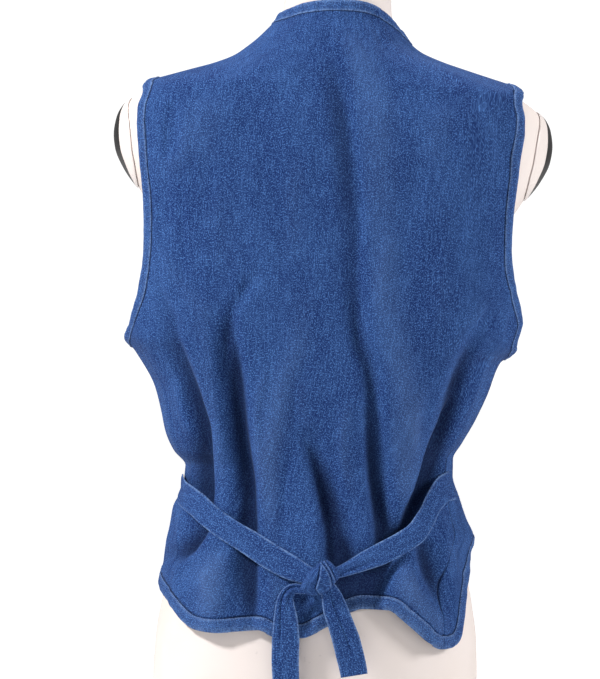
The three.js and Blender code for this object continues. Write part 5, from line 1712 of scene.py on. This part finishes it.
def make_floor():
    """A flat white floor that runs to the horizon; only the camera sees it glow, so shadows stay."""
    x = np.linspace(-FLOOR_HALF_WIDTH, FLOOR_HALF_WIDTH, FLOOR_POINTS)
    flat = grid_of(x, x)
    points = np.concatenate([flat, np.zeros((*flat.shape[:2], 1))], -1) / METRE
    item = make_object("floor", points, quads_between(FLOOR_POINTS, FLOOR_POINTS), flip=True)
    tree, shader = principled("floor_paint", Roughness=0.9, Base_Color=(0.8, 0.8, 0.8, 1),
                              Specular_IOR_Level=0.1, Emission_Strength=FLOOR_GLOW)
    seen = node(tree, "ShaderNodeLightPath").outputs["Is Camera Ray"]
    glow = colour_mix(tree, seen, (0, 0, 0, 1), (1, 1, 1, 1))
    tree.links.new(glow, shader.inputs["Emission Color"])
    item.data.materials.append(bpy.data.materials["floor_paint"])


def make_daylight():
    """An even white sky that lights softly and looks white."""
    world = bpy.data.worlds.new("soft_daylight")
    world.use_nodes = True
    tree = world.node_tree
    sky = tree.nodes["Background"]
    sky.inputs["Color"].default_value = (1, 1, 1, 1)
    seen = node(tree, "ShaderNodeLightPath").outputs["Is Camera Ray"]
    spread = node(tree, "ShaderNodeMapRange", in_To_Min=SKY_LIGHT, in_To_Max=SKY_SEEN)
    tree.links.new(seen, spread.inputs["Value"])
    tree.links.new(spread.outputs["Result"], sky.inputs["Strength"])
    bpy.context.scene.world = world


def make_camera():
    """Level, as far off as the photograph shows, aimed at its middle and rolled by its tilt."""
    data = bpy.data.cameras.new("camera")
    data.sensor_width = SENSOR_WIDTH
    data.lens = SENSOR_WIDTH * CAMERA["distance"] / FRAME_HEIGHT
    data.clip_end = 100
    roll = np.radians(CAMERA["roll"])
    item = bpy.data.objects.new("camera", data)
    right = Vector((np.cos(roll), 0, np.sin(roll)))
    up = Vector((-np.sin(roll), 0, np.cos(roll)))
    turned = Matrix((right, up, (0, -1, 0))).transposed()
    place = Matrix.Translation((CAMERA["x"], -CAMERA["distance"], CAMERA["z"]))
    item.matrix_world = place @ turned.to_4x4()
    bpy.context.collection.objects.link(item)
    bpy.context.scene.camera = item


class VEST_PT_panel(bpy.types.Panel):
    """Lists the vest's pieces and finishes"""

    bl_idname = "VEST_PT_panel"
    bl_label = "Denim vest"
    bl_space_type = "VIEW_3D"
    bl_region_type = "UI"
    bl_category = "Vest"

    def draw(self, context):
        for operator in OPERATORS:
            self.layout.operator(operator.bl_idname)
        sizes = context.scene.vest_finishes
        for name in sizes.__annotations__:
            self.layout.prop(sizes, name)


OPERATORS = (VEST_OT_form, VEST_OT_back, VEST_OT_fronts, VEST_OT_bindings, VEST_OT_hem, VEST_OT_ties,
             VEST_OT_stage)
CLASSES = (VestFinishes, *OPERATORS, VEST_PT_panel)


def register():
    """Makes the panel, the operators and the finishes known to Blender."""
    for cls in CLASSES:
        bpy.utils.register_class(cls)
    bpy.types.Scene.vest_finishes = bpy.props.PointerProperty(type=VestFinishes)


def unregister():
    """Takes them away again."""
    del bpy.types.Scene.vest_finishes
    for cls in reversed(CLASSES):
        bpy.utils.unregister_class(cls)


def main():
    """Makes every piece and the stage."""
    register()
    bpy.ops.vest.form()
    bpy.ops.vest.back()
    bpy.ops.vest.fronts()
    bpy.ops.vest.bindings()
    bpy.ops.vest.hem()
    bpy.ops.vest.ties()
    bpy.ops.vest.stage()


if __name__ == "__main__":
    main()
